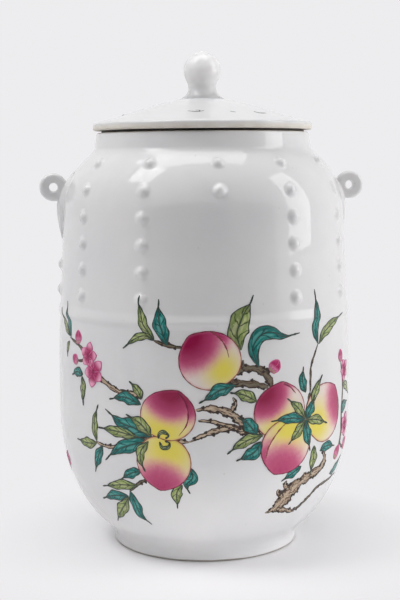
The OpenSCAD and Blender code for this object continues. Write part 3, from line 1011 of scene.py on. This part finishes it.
# Peaches: layer, centre, radius, flatness from top to bottom, turn of the tip from upright, then in radii
# from the centre the middle of the blush, its reach and its depth, the middle of the ripe glow and its
# reach, and the points of the groove, with the far lobe on its left
PEACHES = (
    (2, (-4.4, 103), 14.4, 0.07, -40, (-0.75, 0.8), 1.6, 2.0, (0.4, -0.3), 1.0,
     ((0.03, 0.95), (0.33, 0.7), (0.52, 0.4), (0.6, 0.1))),
    (3, (-19.8, 77.4), 13.1, 0.11, 24, (0.15, 0.9), 1.5, 1.8, (-0.2, -0.6), 1.9,
     ((0.36, 0.86), (0.6, 0.58), (0.74, 0.15), (0.68, -0.3), (0.4, -0.7))),
    (2, (-21.8, 55.2), 13.3, 0.02, 190, (-0.15, -1.1), 1.55, 0.55, (0.2, 0.45), 1.8, ()),
    (2, (22.1, 77.6), 13.8, 0.06, 4, (-0.64, 0.74), 1.36, 1.8, (0.0, -0.6), 1.4,
     ((0.12, 0.95), (0.36, 0.82), (0.62, 0.56))),
    (2, (44.2, 73.4), 14.2, 0, 40, (1.2, 0.4), 1.5, 0.7, (-0.4, -0.3), 1.25, ()),
    (3, (24.9, 60.8), 13.9, 0.06, 206, (-0.2, -1.0), 1.55, 0.52, (0.05, 0.6), 1.5,
     ((-0.8, -0.28), (-0.7, 0.1), (-0.36, 0.56), (0.1, 0.92))),
)

# Branches: points with a breadth at each
BRANCHES = (
    ((-9.5, 80.5, 2.0), (-3.8, 81, 2.8), (2, 79, 3.2), (6, 75, 3.0), (8.5, 71.5, 3.2), (12, 68, 3.2)),
    ((-8.8, 75.5, 1.0), (-3.9, 75, 1.3), (2.5, 72.5, 1.6), (7.5, 70, 2.0)),
    ((-12, 65.5, 1.4), (-7.4, 68.4, 1.8), (-2.5, 70.6, 2.4), (3.5, 72, 2.8),
     (7.5, 70, 3.2), (12, 68, 3.4), (15, 67.5, 2.4)),
    ((-27, 66, 1.8), (-21, 66, 1.6), (-17, 65.6, 1.6), (-12, 65.5, 1.6)),
    ((3, 79.5, 1.8), (4.5, 83, 1.4), (3.6, 86, 0.8)),
    ((19.5, 27.5, 1.2), (24, 29.5, 5.4), (27, 33.5, 8.6), (29.8, 37.2, 7.4),
     (33, 40.8, 5.4), (38.5, 43.5, 4.8), (45, 46, 3.8), (46.5, 50.5, 2.6), (43.5, 57, 1.4)),
    ((24.5, 29, 2.4), (30, 27, 2.2), (36, 25, 0.8)),
    ((26, 35, 3.0), (23.6, 37.5, 2.0), (23.2, 39.5, 0.8)),
    ((28.5, 38, 2.6), (26.2, 41, 1.8), (26.4, 43.5, 0.8)),
    ((33.5, 25.8, 1.4), (37.5, 27, 1.2), (42, 31, 1.4), (47, 35.5, 1.3), (56, 37, 1.0), (63, 38.5, 0.7)),
    ((58.2, 56, 1.0), (62, 52.5, 0.9), (65.5, 51.5, 0.8)), ((-80, 44, 1.2), (-85, 39, 1.0), (-91, 37, 0.7)),
    ((-56.5, 100, 0.9), (-59.5, 98.8, 0.8), (-61.8, 98.8, 0.7)),
    ((-14.3, 109, 1.2), (-20, 110, 1.4), (-24.8, 112, 1.0)),
    ((7.4, 103, 1.4), (8, 99.5, 2.4), (13.4, 98.2, 3.0), (17.2, 93.5, 2.8), (18.2, 89, 2.0)),
    ((4.6, 96.5, 1.8), (8, 99.5, 2.2)), ((14, 98, 2.2), (16.5, 97.5, 1.4), (18, 98.2, 1.0)),
    ((1.5, 94.5, 2.2), (5, 92.5, 2.6), (12, 91.4, 2.8), (17, 89.5, 2.2)), ((2.4, 91.5, 1.0), (6, 93, 1.8)),
    ((35.8, 85, 1.0), (36, 92, 0.8), (36.6, 98, 0.7), (40.6, 107.2, 0.7)),
    ((33.4, 72, 1.4), (34.6, 79, 1.2), (35.8, 85, 1.0)),
    ((-29.5, 84.5, 1.6), (-33.4, 87, 2.0), (-39, 87, 2.2), (-46.5, 91.5, 1.8), (-50, 93.5, 1.4)),
    ((-55, 99, 1.0), (-58, 104, 1.2), (-62, 106.5, 1.0), (-68.5, 109, 0.9)),
    ((-27, 66, 1.8), (-34, 64.5, 1.5), (-42, 60.4, 1.3), (-47.5, 60.3, 1.2), (-51, 61.5, 1.0)),
    ((-28, 46.5, 1.2), (-32, 44, 1.2), (-37.4, 38.8, 1.0)),
    ((56.5, 47, 1.4), (59, 58, 1.2), (58.5, 70, 1.1), (60, 84, 1.0), (57.5, 96, 0.8)),
)

# Blossoms: centre, radius, turn; and buds: centre, radius, turn of the tip from upright
BLOSSOMS = (((-80, 46), 3.6, 15), ((-54.4, 101.8), 6.4, 10), ((-51.6, 94.6), 7.2, 46),
            ((63, 63), 6.2, 20), ((61.5, 91), 5.6, 50))
BUDS = (((-61.5, 109.8), 2.8, -6), ((-63.4, 99), 2.4, -60), ((19.6, 99), 2.9, 40), ((57, 50.5), 3.2, 30),
        ((57.5, 98.5), 2.6, 0), ((66, 53), 2.8, 40))

# The back carries a smaller spray of the same kind, half way round
BACK_TURN = 180
BACK_LEAVES = (
    ("teal", 1, 6.8, ((-8, 96), (-12, 104), (-17, 109), (-21, 114))),
    ("green", 1, 5.8, ((-7, 97), (-6.5, 105), (-3.5, 112), (-3, 118))),
    ("green", 4, 5.6, ((-9, 84), (-17, 88.5), (-27, 91))),
    ("teal", 4, 6.2, ((-9, 82), (-17, 79), (-28, 79))),
    ("green", 1, 5.4, ((8, 62), (16, 61), (25, 57.5))), ("teal", 1, 6.2, ((7, 60), (13, 53), (18, 44))),
    ("green", 1, 5.2, ((24, 82), (29, 88), (36.5, 93))), ("teal", 1, 5.6, ((25, 80), (33, 81.5), (41, 80))),
    ("teal", 4, 5.8, ((-22, 58), (-29, 63), (-37, 67))),
    ("green", 1, 5.4, ((-22, 56), (-29, 54), (-37, 49))),
    ("green", 1, 5.0, ((-44, 74), (-49, 79), (-56, 83))),
    ("teal", 1, 5.2, ((-44, 73), (-50, 71.5), (-57, 67))),
)
BACK_PEACHES = (
    (3, (6, 88), 14.2, 0.04, -20, (-0.75, 0.9), 1.5, 1.6, (0.3, -0.4), 1.05,
     ((0.05, 0.95), (0.36, 0.7), (0.55, 0.35), (0.6, 0))),
    (2, (-8, 66), 12.8, 0.04, 190, (0.1, -1.15), 1.5, 0.7, (-0.2, 0.4), 1.1, ()),
)
BACK_BRANCHES = (
    ((44, 66, 1.4), (32, 72, 2.2), (20, 74.5, 3.2), (6, 75.5, 3.6), (-10, 76, 3.2),
     (-26, 74, 2.4), (-44, 73.5, 1.4)),
    ((-9, 76, 1.6), (-9.5, 84, 1.4), (-8, 96, 1.2)), ((2, 75.5, 2.0), (7, 68, 1.6), (7.5, 61, 1.4)),
    ((20, 74.5, 1.8), (24, 81, 1.4)), ((-20, 75, 1.8), (-23, 66, 1.4), (-22, 57, 1.2)),
)
BACK_BLOSSOMS = (((32, 68), 6.8, 25), ((-33, 76), 6.4, 5))
BACK_BUDS = (((43, 70), 2.8, 60), ((-48, 77), 2.8, -50))

# Small brush flecks on the lid in plan, in millimetres from its axis: points of each stroke
LID_FLECKS = (
    ((-11, -36.5), (-8.5, -38.5), (-6, -39), (-3.5, -37.5)), ((-6, -39), (-5.5, -37), (-7.5, -36.5)),
    ((9, -38), (11.5, -39)), ((21, -33), (24, -33.6), (27, -31.5)), ((-40, -8), (-40.5, -5), (-39.5, -2)),
    ((8, 38), (5, 40), (2, 39)), ((12, 38.5), (15, 39.5)), ((-20, 34), (-23, 32)),
    ((36, 14), (37.5, 10), (36.5, 7)),
)


def spot(azimuth, z, turn):
    """Place on the jar's unrolled skin, from degrees to the right of a side's middle and a height."""
    return Vector((math.radians(azimuth + turn) * BELLY_R, z))


def both_sides(front, back):
    """Motifs of the front as they are, and those of the back with their turn."""
    return [(motif, 0) for motif in front] + [(motif, BACK_TURN) for motif in back]


def draw_leaf(body, ink, path, width, layer, line):
    """Leaf with its dark edges, a midrib and a tip drawn out with the brush."""
    left, right = body.leaf(path, width, layer)
    ink.stroke(left, line, layer, (0.1, 0.1))
    ink.stroke(right, line * 0.8, layer, (0.1, 0.1))
    ink.stroke(path[1:], line * 0.8, layer, (0.1, 0.1))
    ink.stroke(path[int(0.8 * len(path)):], line * 1.5, layer, (0.5, 0.3))


class CanisterOperator:
    """Shared settings of the operators."""

    bl_options = {"REGISTER", "UNDO"}

    @property
    def form(self):
        return bpy.context.scene.canister_form

    @property
    def tones(self):
        return bpy.context.scene.canister_spray

    @property
    def line(self):
        """Width of the drawn outlines in millimetres."""
        return self.tones.line / MM

    def enamel(self, place=on_glaze):
        return Enamel(place, self.tones.film / MM)


class CANISTER_OT_jar(CanisterOperator, bpy.types.Operator):
    """Turn the jar with its foot, belly, raised band, shoulder and neck"""

    bl_idname = "canister.jar"
    bl_label = "Jar"

    def execute(self, context):
        jar = turned("jar", jar_outline(), self.form.segments)
        settle(jar, "jar", "porcelain", porcelain("jar_glaze", FOOT_BARE_Z, RIM_BARE_Z), "jar_body")
        return {"FINISHED"}


class CANISTER_OT_studs(CanisterOperator, bpy.types.Operator):
    """Press the rows of studs onto the wall, with glaze softening each foot"""

    bl_idname = "canister.studs"
    bl_label = "Studs"

    RINGS = 16
    SEGMENTS = 36
    REACH = 4.8
    EDGE_SINK = 0.06
    DEPTH = 0.7

    def execute(self, context):
        for row in range(STUD_ROWS):
            first, last = stud_span(row)
            points = []
            faces = []
            for k in range(first, last + 1):
                self.stud(points, faces, FULL_TURN / STUD_ROWS * row * BELLY_R, STUD_LOW_Z + STUD_PITCH * k)
            studs = finish_mesh(f"studs_{row + 1:02d}", points, faces)
            settle(studs, "jar", "porcelain", porcelain("stud_glaze"), f"stud_row_{row + 1:02d}")
        return {"FINISHED"}

    def stud(self, points, faces, around, z):
        """Soft cap that runs out into the wall, closed under the glaze."""
        base = len(points)
        relief = self.form.stud_relief / MM
        flat = math.hypot(1, jar_slope(z))
        points.append(on_jar(around, z, relief))
        for ring in range(1, self.RINGS + 1):
            q = ring / self.RINGS
            rho = self.REACH * q
            lift = relief * stud_profile(rho) - self.EDGE_SINK * q ** 4
            for k in range(self.SEGMENTS):
                a = FULL_TURN * k / self.SEGMENTS
                beside = rho * math.cos(a) * BELLY_R / jar_radius(z)
                points.append(on_jar(around + beside, z + rho * math.sin(a) / flat, lift))
        under = len(points) - base
        points.append(on_jar(around, z, -self.DEPTH))
        cap, border = dish_faces(self.RINGS, self.SEGMENTS)
        cap += [(under, j, i) for i, j in zip(border, border[1:] + border[:1])]
        faces.extend([base + i for i in face] for face in cap)


class CANISTER_OT_ears(CanisterOperator, bpy.types.Operator):
    """Soften the two lug ears as a thick glaze does"""

    bl_idname = "canister.ears"
    bl_label = "Ears"

    SINK = 0.15
    LEAST_RELIEF = 0.35

    def execute(self, context):
        for node in ("left_ear", "right_ear"):
            mesh = self.softened(context, node)
            for vertex in mesh.vertices:
                self.press(vertex)
            for face in mesh.polygons:
                face.use_smooth = True
            settle(link_object(node + "_glazed", mesh), "jar", "porcelain", porcelain("ear_glaze"), node)
        return {"FINISHED"}

    def softened(self, context, node):
        """New mesh from a copy of the CAD node, with rounded joins and edges."""
        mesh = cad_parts[node].data.copy()
        body = bmesh.new()
        body.from_mesh(mesh)
        bmesh.ops.remove_doubles(body, verts=body.verts, dist=1e-6)
        body.to_mesh(mesh)
        body.free()
        raw = link_object(node + "_raw", mesh)
        clay = raw.modifiers.new("Clay", "REMESH")
        clay.mode = "VOXEL"
        clay.voxel_size = self.form.ear_voxel
        smooth = raw.modifiers.new("Glaze", "SMOOTH")
        smooth.factor = 0.5
        smooth.iterations = 14
        swell = raw.modifiers.new("Thickness", "DISPLACE")
        swell.strength = 0.00012
        swell.mid_level = 0
        graph = context.evaluated_depsgraph_get()
        done = bpy.data.meshes.new_from_object(raw.evaluated_get(graph))
        bpy.data.objects.remove(raw)
        bpy.data.meshes.remove(mesh)
        return done

    def press(self, vertex):
        """Thin the strap out to its edges and sink its rim a little under the wall's glaze."""
        x, y, z = (abs(value) / MM for value in vertex.co)
        r = math.hypot(x, y)
        under = jar_radius(z) - self.SINK
        along = min(1, max(0, (z - STRAP_LOW_Z) / (STRAP_HIGH_Z - STRAP_LOW_Z)))
        half = 0.1 + STRAP_W / 2 * max(0, math.sin(math.pi * along ** 1.3)) ** 0.7
        flat = min(EAR_T / 2, 0.48 * half)
        off_ring = ease(math.hypot(x - EAR_X, z - EAR_Z) - EAR_RING_R)
        thin = ease((y - flat) / (half - flat)) * max(off_ring, ease((y - EAR_T / 2) / 0.8))
        high = r - under
        high -= thin * min(high, STRAP_RELIEF)
        scale = (under + (high if high > self.LEAST_RELIEF else 0)) / r
        vertex.co.x *= scale
        vertex.co.y *= scale


class CANISTER_OT_lid(CanisterOperator, bpy.types.Operator):
    """Turn the domed lid with its bare edge and collar"""

    bl_idname = "canister.lid"
    bl_label = "Lid"

    def execute(self, context):
        lid = turned("lid_dome", lid_outline(), self.form.segments)
        settle(lid, "lid", "porcelain", porcelain("lid_glaze", LID_BARE_Z, soft=LID_BARE_SOFT), "lid")
        return {"FINISHED"}


class CANISTER_OT_knob(CanisterOperator, bpy.types.Operator):
    """Turn the bud knob on top of the lid"""

    bl_idname = "canister.knob"
    bl_label = "Knob"

    def execute(self, context):
        knob = turned("knob", knob_outline(), KNOB_SEGMENTS)
        settle(knob, "lid", "porcelain", lucent("knob_glaze", KNOB_LIGHT_DEPTH), "lid_knob")
        return {"FINISHED"}


class CANISTER_OT_seal(CanisterOperator, bpy.types.Operator):
    """Turn the soft sealing ring"""

    bl_idname = "canister.seal"
    bl_label = "Sealing Ring"

    def execute(self, context):
        seal = turned("seal_ring", seal_outline(), self.form.segments, closed=True)
        settle(seal, "seal", "seal", rubber(), "lid_seal")
        return {"FINISHED"}


class CANISTER_OT_branches(CanisterOperator, bpy.types.Operator):
    """Paint the gnarled branches and their ink"""

    bl_idname = "canister.branches"
    bl_label = "Branches"

    SEED = 7
    THIN = 1.5
    HIGH_Z = 88
    TRUNK_Z = 48
    DOT_BREADTH = 1.2

    def execute(self, context):
        bark = self.enamel()
        ink = self.enamel()
        dice = random.Random(self.SEED)
        for motif, turn in both_sides(BRANCHES, BACK_BRANCHES):
            spine = smooth_path([spot(a, z, turn) for a, z, w in motif], 9)
            breadth = smooth_path([Vector((w, 0)) for a, z, w in motif], 9)
            self.branch(bark, ink, spine, [b.x for b in breadth], dice)
        bark.make("branches", "jar", branch_enamel())
        ink.make("branch_lines", "jar", line_enamel("branch_ink", self.tones.ink, srgb(104, 76, 58)))
        return {"FINISHED"}

    def darkness(self, spine, breadth):
        """Share of the dark tone, which is strong on thin stems and high branches."""
        if max(breadth) < self.THIN:
            return 0.8
        if spine[0].y > self.HIGH_Z:
            return 0.75
        return 0.1 if spine[0].y < self.TRUNK_Z else 0.0

    def branch(self, bark, ink, spine, breadth, dice):
        """One branch with knotty edges, edge strokes, moss dots and cracks."""
        cross = (-1, -0.5, 0, 0.5, 1)
        dark = self.darkness(spine, breadth)
        way = runs(spine)
        last = len(spine) - 1
        rows = []
        for i, (place, side) in enumerate(zip(spine, sides(spine))):
            knot = 1 + 0.2 * math.sin(way[i] * 0.9 + breadth[0] * 7) + dice.uniform(-0.12, 0.12)
            end = min(1, 0.35 + 4 * min(i, last - i) / last)
            half = breadth[i] / 2 * knot * end
            wander = side * dice.uniform(-0.08, 0.08) * breadth[i]
            rows.append([place + wander + side * half * v for v in cross])
        rim = [[(abs(v), dark) for v in cross]] * len(rows)
        bark.sheet(rows, [run / 10 for run in way], cross, rim, bark.rim_lift(0), 0.04)
        left, right = edges(rows)
        ink.stroke(left, self.line * 1.2, 0, (0.05, 0.2))
        ink.stroke(right, self.line, 0, (0.2, 0.1), 0.3)
        for i in range(2, last - 1):
            if breadth[i] > self.DOT_BREADTH and i % (2 if breadth[i] > 3 else 4) == 0:
                side = left[i] if dice.random() < 0.5 else right[i]
                size = dice.uniform(0.6, 1.0)
                ink.disc(side, lambda a, size=size: size * (1 + 0.2 * math.sin(3 * a)), 0.5, 0.05, 2, 12)
        for i in range(2, last - 5, 2):
            for _ in range(int(breadth[i] // 2)):
                across = dice.uniform(0.12, 0.88)
                crack = [row[0].lerp(row[-1], across) for row in rows[i:i + 4]]
                ink.stroke(crack, self.line * dice.uniform(0.6, 1.1), 0, (0.4, 0.4), 0.6, 0.055)


class CANISTER_OT_leaves(CanisterOperator, bpy.types.Operator):
    """Paint the blue-green and yellow-green leaves"""

    bl_idname = "canister.leaves"
    bl_label = "Leaves"

    def execute(self, context):
        tones = self.tones
        bodies = {"teal": self.enamel(), "green": self.enamel()}
        ink = self.enamel()
        for (tone, layer, width, places), turn in both_sides(LEAVES, BACK_LEAVES):
            path = smooth_path([spot(*place, turn) for place in places], 36 // (len(places) - 1))
            draw_leaf(bodies[tone], ink, path, width, layer, self.line)
        teal = leaf_enamel("teal_enamel", tones.teal, tones.teal_dark, PALE_TEAL)
        green = leaf_enamel("green_enamel", tones.green, tones.green_dark, PALE_GREEN)
        bodies["teal"].make("leaves_teal", "jar", teal)
        bodies["green"].make("leaves_green", "jar", green)
        ink.make("leaf_lines", "jar", line_enamel("leaf_ink", srgb(46, 60, 52), srgb(42, 70, 68)))
        return {"FINISHED"}


class CANISTER_OT_peaches(CanisterOperator, bpy.types.Operator):
    """Paint the peaches with their blush, outline and groove"""

    bl_idname = "canister.peaches"
    bl_label = "Peaches"

    TIP = 0.09
    DIMPLE = 0.06
    LOBE_BLUSH = 0.34
    RINGS = 16
    SEGMENTS = 72
    STRETCH = 9

    def execute(self, context):
        flesh = self.enamel()
        lines = self.enamel()
        for (layer, place, *shape), turn in both_sides(PEACHES, BACK_PEACHES):
            self.peach(flesh, lines, layer, spot(*place, turn), *shape)
        flesh.make("peaches", "jar", peach_enamel())
        lines.make("peach_lines", "jar", line_enamel("peach_ink", srgb(150, 86, 66), srgb(120, 20, 58)))
        return {"FINISHED"}

    def peach(self, flesh, lines, layer, centre, radius, flat, tip_turn, blush, reach, deep, glow, ripe,
              groove):
        """One peach with its outline, drawn in stretches that follow the blush, and its groove."""
        fold = smooth_path([Vector(point) for point in groove], 8) if groove else []

        def edge(a):
            off = angle_off(a, math.radians(tip_turn))
            far = math.pi - abs(off)
            bumps = self.TIP * math.exp(-abs(off / 0.3) ** 1.3) - self.DIMPLE * math.exp(-(far / 0.4) ** 2)
            return radius * (1 + bumps) * (1 - flat * math.cos(a) ** 2)

        def paint_at(place):
            here = (place - centre) / radius
            red = max(0, 1 - (here - Vector(blush)).length / reach) + self.far_lobe(here, fold)
            return (deep * math.tanh(red / deep), max(0, 1 - (here - Vector(glow)).length / ripe))

        def line_tone(path):
            return min(1, 3 * paint_at(path[len(path) // 2])[0])

        flesh.disc(centre, edge, layer, flesh.CROWN, self.RINGS, self.SEGMENTS, paint_at)
        outline = round_path(centre, edge, self.SEGMENTS)
        for start in range(0, self.SEGMENTS, self.STRETCH):
            stretch = outline[start:start + self.STRETCH + 1]
            lines.stroke(stretch, self.line * 0.8, layer, (0, 0), line_tone(stretch))
        if fold:
            path = [centre + point * radius for point in fold]
            lines.stroke(path, self.line * 1.3, layer, (0.05, 0.4), line_tone(path))

    def far_lobe(self, here, fold):
        """Extra blush of the lobe to the left of the groove, which fades out along it."""
        if not fold:
            return 0
        k = min(range(len(fold) - 1), key=lambda i: (here - fold[i]).length)
        beyond = (fold[k + 1] - fold[k]).cross(here - fold[k]) > 0
        return self.LOBE_BLUSH * (1 - k / len(fold)) if beyond else 0


class CANISTER_OT_blossoms(CanisterOperator, bpy.types.Operator):
    """Paint the blossoms with their stamens, and the buds"""

    bl_idname = "canister.blossoms"
    bl_label = "Blossoms"

    PETALS = 5
    STAMENS = 9
    BUD_SEGMENTS = 28

    def execute(self, context):
        petals = self.enamel()
        lines = self.enamel()
        sepals = self.enamel()
        for (place, radius, turn), around in both_sides(BLOSSOMS, BACK_BLOSSOMS):
            self.blossom(petals, lines, spot(*place, around), radius, turn)
        for (place, radius, turn), around in both_sides(BUDS, BACK_BUDS):
            self.bud(petals, lines, sepals, spot(*place, around), radius, math.radians(turn))
        petals.make("blossom_petals", "jar", petal_enamel())
        ink = line_enamel("blossom_ink", srgb(204, 96, 150), srgb(150, 24, 84))
        lines.make("blossom_lines", "jar", ink)
        green = leaf_enamel("sepal_enamel", self.tones.green, self.tones.green_dark, PALE_GREEN)
        sepals.make("sepals", "jar", green)
        return {"FINISHED"}

    def blossom(self, petals, lines, centre, radius, turn):
        """Petals of uneven length with their outlines, and stamens."""
        cross = (-1, -0.6, -0.2, 0.2, 0.6, 1)
        along = [i / 10 for i in range(11)]
        rim = [[(max(abs(v), t), 0.0) for v in cross] for t in along]
        for k in range(self.PETALS):
            out = heading(math.radians(turn + 360 / self.PETALS * k))
            side = Vector((out.y, -out.x))
            far = radius * (1.08 - 0.2 * ((k * 3) % 5) / 4)
            rows = []
            for t in along:
                swell = 0.36 * math.sin(math.pi * (0.06 + 0.94 * t) ** 1.25) ** 0.9 if t < 1 else 0
                half = radius * max(0.02, swell)
                rows.append([centre + out * far * (0.05 + 0.95 * t) + side * half * v for v in cross])
            petals.sheet(rows, along, cross, rim, petals.rim_lift(3 + k % 2), petals.CROWN)
            left, right = edges(rows)
            lines.stroke(left + right[::-1], self.line * 0.5, 4, (0.05, 0.05))
        for k in range(self.STAMENS):
            out = heading(math.radians(turn + 360 / self.STAMENS * k + 12))
            reach = radius * (0.36 + 0.14 * (k % 2))
            stamen = [centre + out * reach * t / 4 for t in range(5)]
            lines.stroke(stamen, self.line * 0.7, 5, (0, 0.4), 1.0)

    def bud(self, petals, lines, sepals, centre, radius, turn):
        """Pointed bud with one petal's edge drawn on it, held by three sepals."""
        up = heading(turn)
        out = Vector((up.y, -up.x))

        def edge(a):
            return radius * (1 + 0.22 * math.exp(-(angle_off(a, turn) / 0.5) ** 2))

        def paint_at(place):
            return (0.5 - 0.5 * (place - centre).dot(up) / radius, 0.5)

        petals.disc(centre, edge, 2, 0.04, 4, self.BUD_SEGMENTS, paint_at)
        lines.stroke(round_path(centre, edge, self.BUD_SEGMENTS), self.line * 0.8, 2, (0, 0))
        seam = [up * (1.15 - 0.35 * k) + out * 0.2 * math.sin(k) for k in range(5)]
        lines.stroke([centre + point * radius for point in seam], self.line * 0.7, 2, (0, 0.3))
        foot = centre - up * radius * 1.05
        for lean in (-0.7, 0, 0.7):
            tip = foot + (up + out * lean) * radius * 0.95
            path = smooth_path([foot, (foot + tip) / 2 + out * lean * 0.5, tip], 5)
            draw_leaf(sepals, lines, path, radius * 0.6, 3, self.line * 0.7)


class CANISTER_OT_lid_flecks(CanisterOperator, bpy.types.Operator):
    """Paint the small brush flecks on the lid's dome"""

    bl_idname = "canister.lid_flecks"
    bl_label = "Lid Flecks"

    def execute(self, context):
        ink = self.enamel(on_lid)
        for places in LID_FLECKS:
            path = smooth_path([Vector(place) for place in places], 8)
            ink.stroke(path, self.line * 0.8, 1, (0.3, 0.3), 0.5)
        ink.make("lid_flecks", "lid", bpy.data.materials["leaf_ink"])
        return {"FINISHED"}


class CANISTER_OT_studio(CanisterOperator, bpy.types.Operator):
    """Set up the white ground, the soft lamps and the camera"""

    bl_idname = "canister.studio"
    bl_label = "Studio"

    WEDGE_ROLL = 23
    LOW_SPREAD = 12
    GROUND_HALF = 3.0
    GROUND_STEPS = 12
    LIT_R = 0.045
    BACKDROP_R = 0.12

    def execute(self, context):
        studio = context.scene.canister_studio
        context.scene.view_settings.view_transform = "Standard"
        self.camera(context, studio)
        self.ground(studio)
        self.room(context, studio)
        self.lamp("top_lamp", (-0.16, 0.12, 1.6), (-0.16, 0.12, 0), (1.4, 0.7), studio.top_power)
        self.lamp("right_lamp", (0.83, -0.24, 0.602), (0, 0, 0.602), (0.36, 0.9), studio.right_power)
        wedge = self.lamp("wedge_lamp", (-0.9, -0.24, 1.36), (-0.04, -0.17, 0.13), (0.48, 0.58),
                          studio.wedge_power)
        wedge.rotation_euler.rotate_axis("Z", math.radians(self.WEDGE_ROLL))
        self.lamp("left_fill", (-0.8, -0.1, 1.1), (0, 0, 0.1), (0.8, 0.6), studio.left_power, False)
        self.lamp("right_fill", (0.95, 0.0, 0.38), (0, 0, 0.1), (0.8, 0.7), studio.fill_power, False)
        self.lamp("front_fill", (0.3, -0.8, 1.5), (0, -0.2, 0), (1.8, 0.7), studio.front_power, False)
        low = self.lamp("low_fill", (0.2, -0.66, 0.09), (0, 0, 0), (1.0, 0.06), studio.low_power, False)
        low.data.spread = math.radians(self.LOW_SPREAD)
        self.flag()
        return {"FINISHED"}

    def camera(self, context, studio):
        data = bpy.data.cameras.new("camera")
        data.lens = studio.lens
        data.sensor_width = SENSOR
        camera = link_object("camera", data)
        place = Matrix.Translation(CAMERA_PLACE)
        for angle, axis in CAMERA_TURNS:
            place = place @ Matrix.Rotation(math.radians(angle), 4, axis)
        camera.matrix_world = place
        context.scene.camera = camera

    def lamp(self, name, place, target, size, power, mirrored=True):
        """Soft lamp turned to a target; mirrored says whether the glaze shows it."""
        data = bpy.data.lights.new(name, "AREA")
        data.shape = "RECTANGLE"
        data.size, data.size_y = size
        data.energy = power
        lamp = link_object(name, data)
        lamp.location = place
        lamp.rotation_euler = (Vector(target) - Vector(place)).to_track_quat("-Z", "Y").to_euler()
        lamp.visible_camera = False
        lamp.visible_glossy = mirrored
        return lamp

    def flag(self):
        """Grey card behind the camera that keeps the front of the glaze calm."""
        points = [(x, y, z) for y in (-1.05, -1.07) for z in (0.02, 0.5) for x in (-1.3, 1.3)]
        faces = [(0, 1, 3, 2), (4, 6, 7, 5), (0, 4, 5, 1), (2, 3, 7, 6), (0, 2, 6, 4), (1, 5, 7, 3)]
        flag = finish_mesh("grey_flag", points, faces)
        card = Finish("grey_card", srgb(92, 92, 94))
        card.wash(card.noise(card.place, 30, 4), srgb(104, 104, 106))
        flag.data.materials.append(card.done(Roughness=0.9))
        flag.visible_camera = False

    def seen(self, nodes):
        """One where a ray shows the ground as a backdrop: camera, glossy and transmission rays."""
        path = nodes.add("ShaderNodeLightPath").outputs
        shown = nodes.calc("MAXIMUM", path["Is Camera Ray"], path["Is Glossy Ray"])
        return nodes.calc("MAXIMUM", shown, path["Is Transmission Ray"])

    def ground(self, studio):
        """White floor that is lit near the foot, for its shadow, and shows the backdrop farther out."""
        width = self.GROUND_STEPS + 1
        ticks = [self.GROUND_HALF * (2 * i / self.GROUND_STEPS - 1) for i in range(width)]
        ground = finish_mesh("ground", [(x, y, 0) for y in ticks for x in ticks], grid_faces(width, width))
        white = Finish("white_ground", srgb(246, 245, 246))
        white.wash(white.noise(white.place, 9, 3), srgb(243, 242, 244))
        ground.data.materials.append(white.done(Roughness=0.7, Specular_IOR_Level=0.2))
        length = white.add("ShaderNodeVectorMath", operation="LENGTH")
        white.fill(length, (white.place,))
        far = white.shift(length.outputs["Value"], self.LIT_R, self.BACKDROP_R)
        glow = white.add("ShaderNodeEmission", Color=studio.backdrop)
        white.mix_shaders(white.calc("MULTIPLY", far, self.seen(white)), white.shader.outputs["BSDF"],
                          glow.outputs["Emission"], "Material Output")

    def room(self, context, studio):
        """Even light from all round, and the backdrop where the room itself is seen."""
        world = bpy.data.worlds.new("room")
        context.scene.world = world
        world.use_nodes = True
        nodes = Nodes(world.node_tree)
        even = nodes.give(world.node_tree.nodes["Background"], Color=(1, 1, 1), Strength=studio.ambient)
        shown = nodes.add("ShaderNodeBackground", Color=studio.backdrop, Strength=1.0)
        nodes.mix_shaders(self.seen(nodes), even.outputs["Background"], shown.outputs["Background"],
                          "World Output")


OPERATORS = (
    CANISTER_OT_studio, CANISTER_OT_jar, CANISTER_OT_studs, CANISTER_OT_ears, CANISTER_OT_lid,
    CANISTER_OT_knob, CANISTER_OT_seal, CANISTER_OT_branches, CANISTER_OT_leaves, CANISTER_OT_peaches,
    CANISTER_OT_blossoms, CANISTER_OT_lid_flecks,
)
SETTINGS = (
    ("canister_glaze", CanisterGlaze), ("canister_spray", CanisterSpray),
    ("canister_form", CanisterForm), ("canister_studio", CanisterStudio),
)


class CANISTER_PT_panel(bpy.types.Panel):
    """Settings and steps of the canister"""

    bl_idname = "CANISTER_PT_panel"
    bl_label = "Porcelain Tea Canister"
    bl_space_type = "VIEW_3D"
    bl_region_type = "UI"
    bl_category = "Canister"

    def draw(self, context):
        for attribute, group in SETTINGS:
            box = self.layout.box()
            for name in group.__annotations__:
                box.prop(getattr(context.scene, attribute), name)
        for operator in OPERATORS:
            self.layout.operator(operator.bl_idname)


def register():
    for attribute, group in SETTINGS:
        bpy.utils.register_class(group)
        setattr(bpy.types.Scene, attribute, bpy.props.PointerProperty(type=group))
    for operator in OPERATORS:
        bpy.utils.register_class(operator)
    bpy.utils.register_class(CANISTER_PT_panel)


def unregister():
    bpy.utils.unregister_class(CANISTER_PT_panel)
    for operator in reversed(OPERATORS):
        bpy.utils.unregister_class(operator)
    for attribute, group in reversed(SETTINGS):
        delattr(bpy.types.Scene, attribute)
        bpy.utils.unregister_class(group)


def main():
    register()
    bpy.ops.canister.studio()
    bpy.ops.canister.jar()
    bpy.ops.canister.studs()
    bpy.ops.canister.ears()
    bpy.ops.canister.lid()
    bpy.ops.canister.knob()
    bpy.ops.canister.seal()
    bpy.ops.canister.branches()
    bpy.ops.canister.leaves()
    bpy.ops.canister.peaches()
    bpy.ops.canister.blossoms()
    bpy.ops.canister.lid_flecks()


if __name__ == "__main__":
    main()
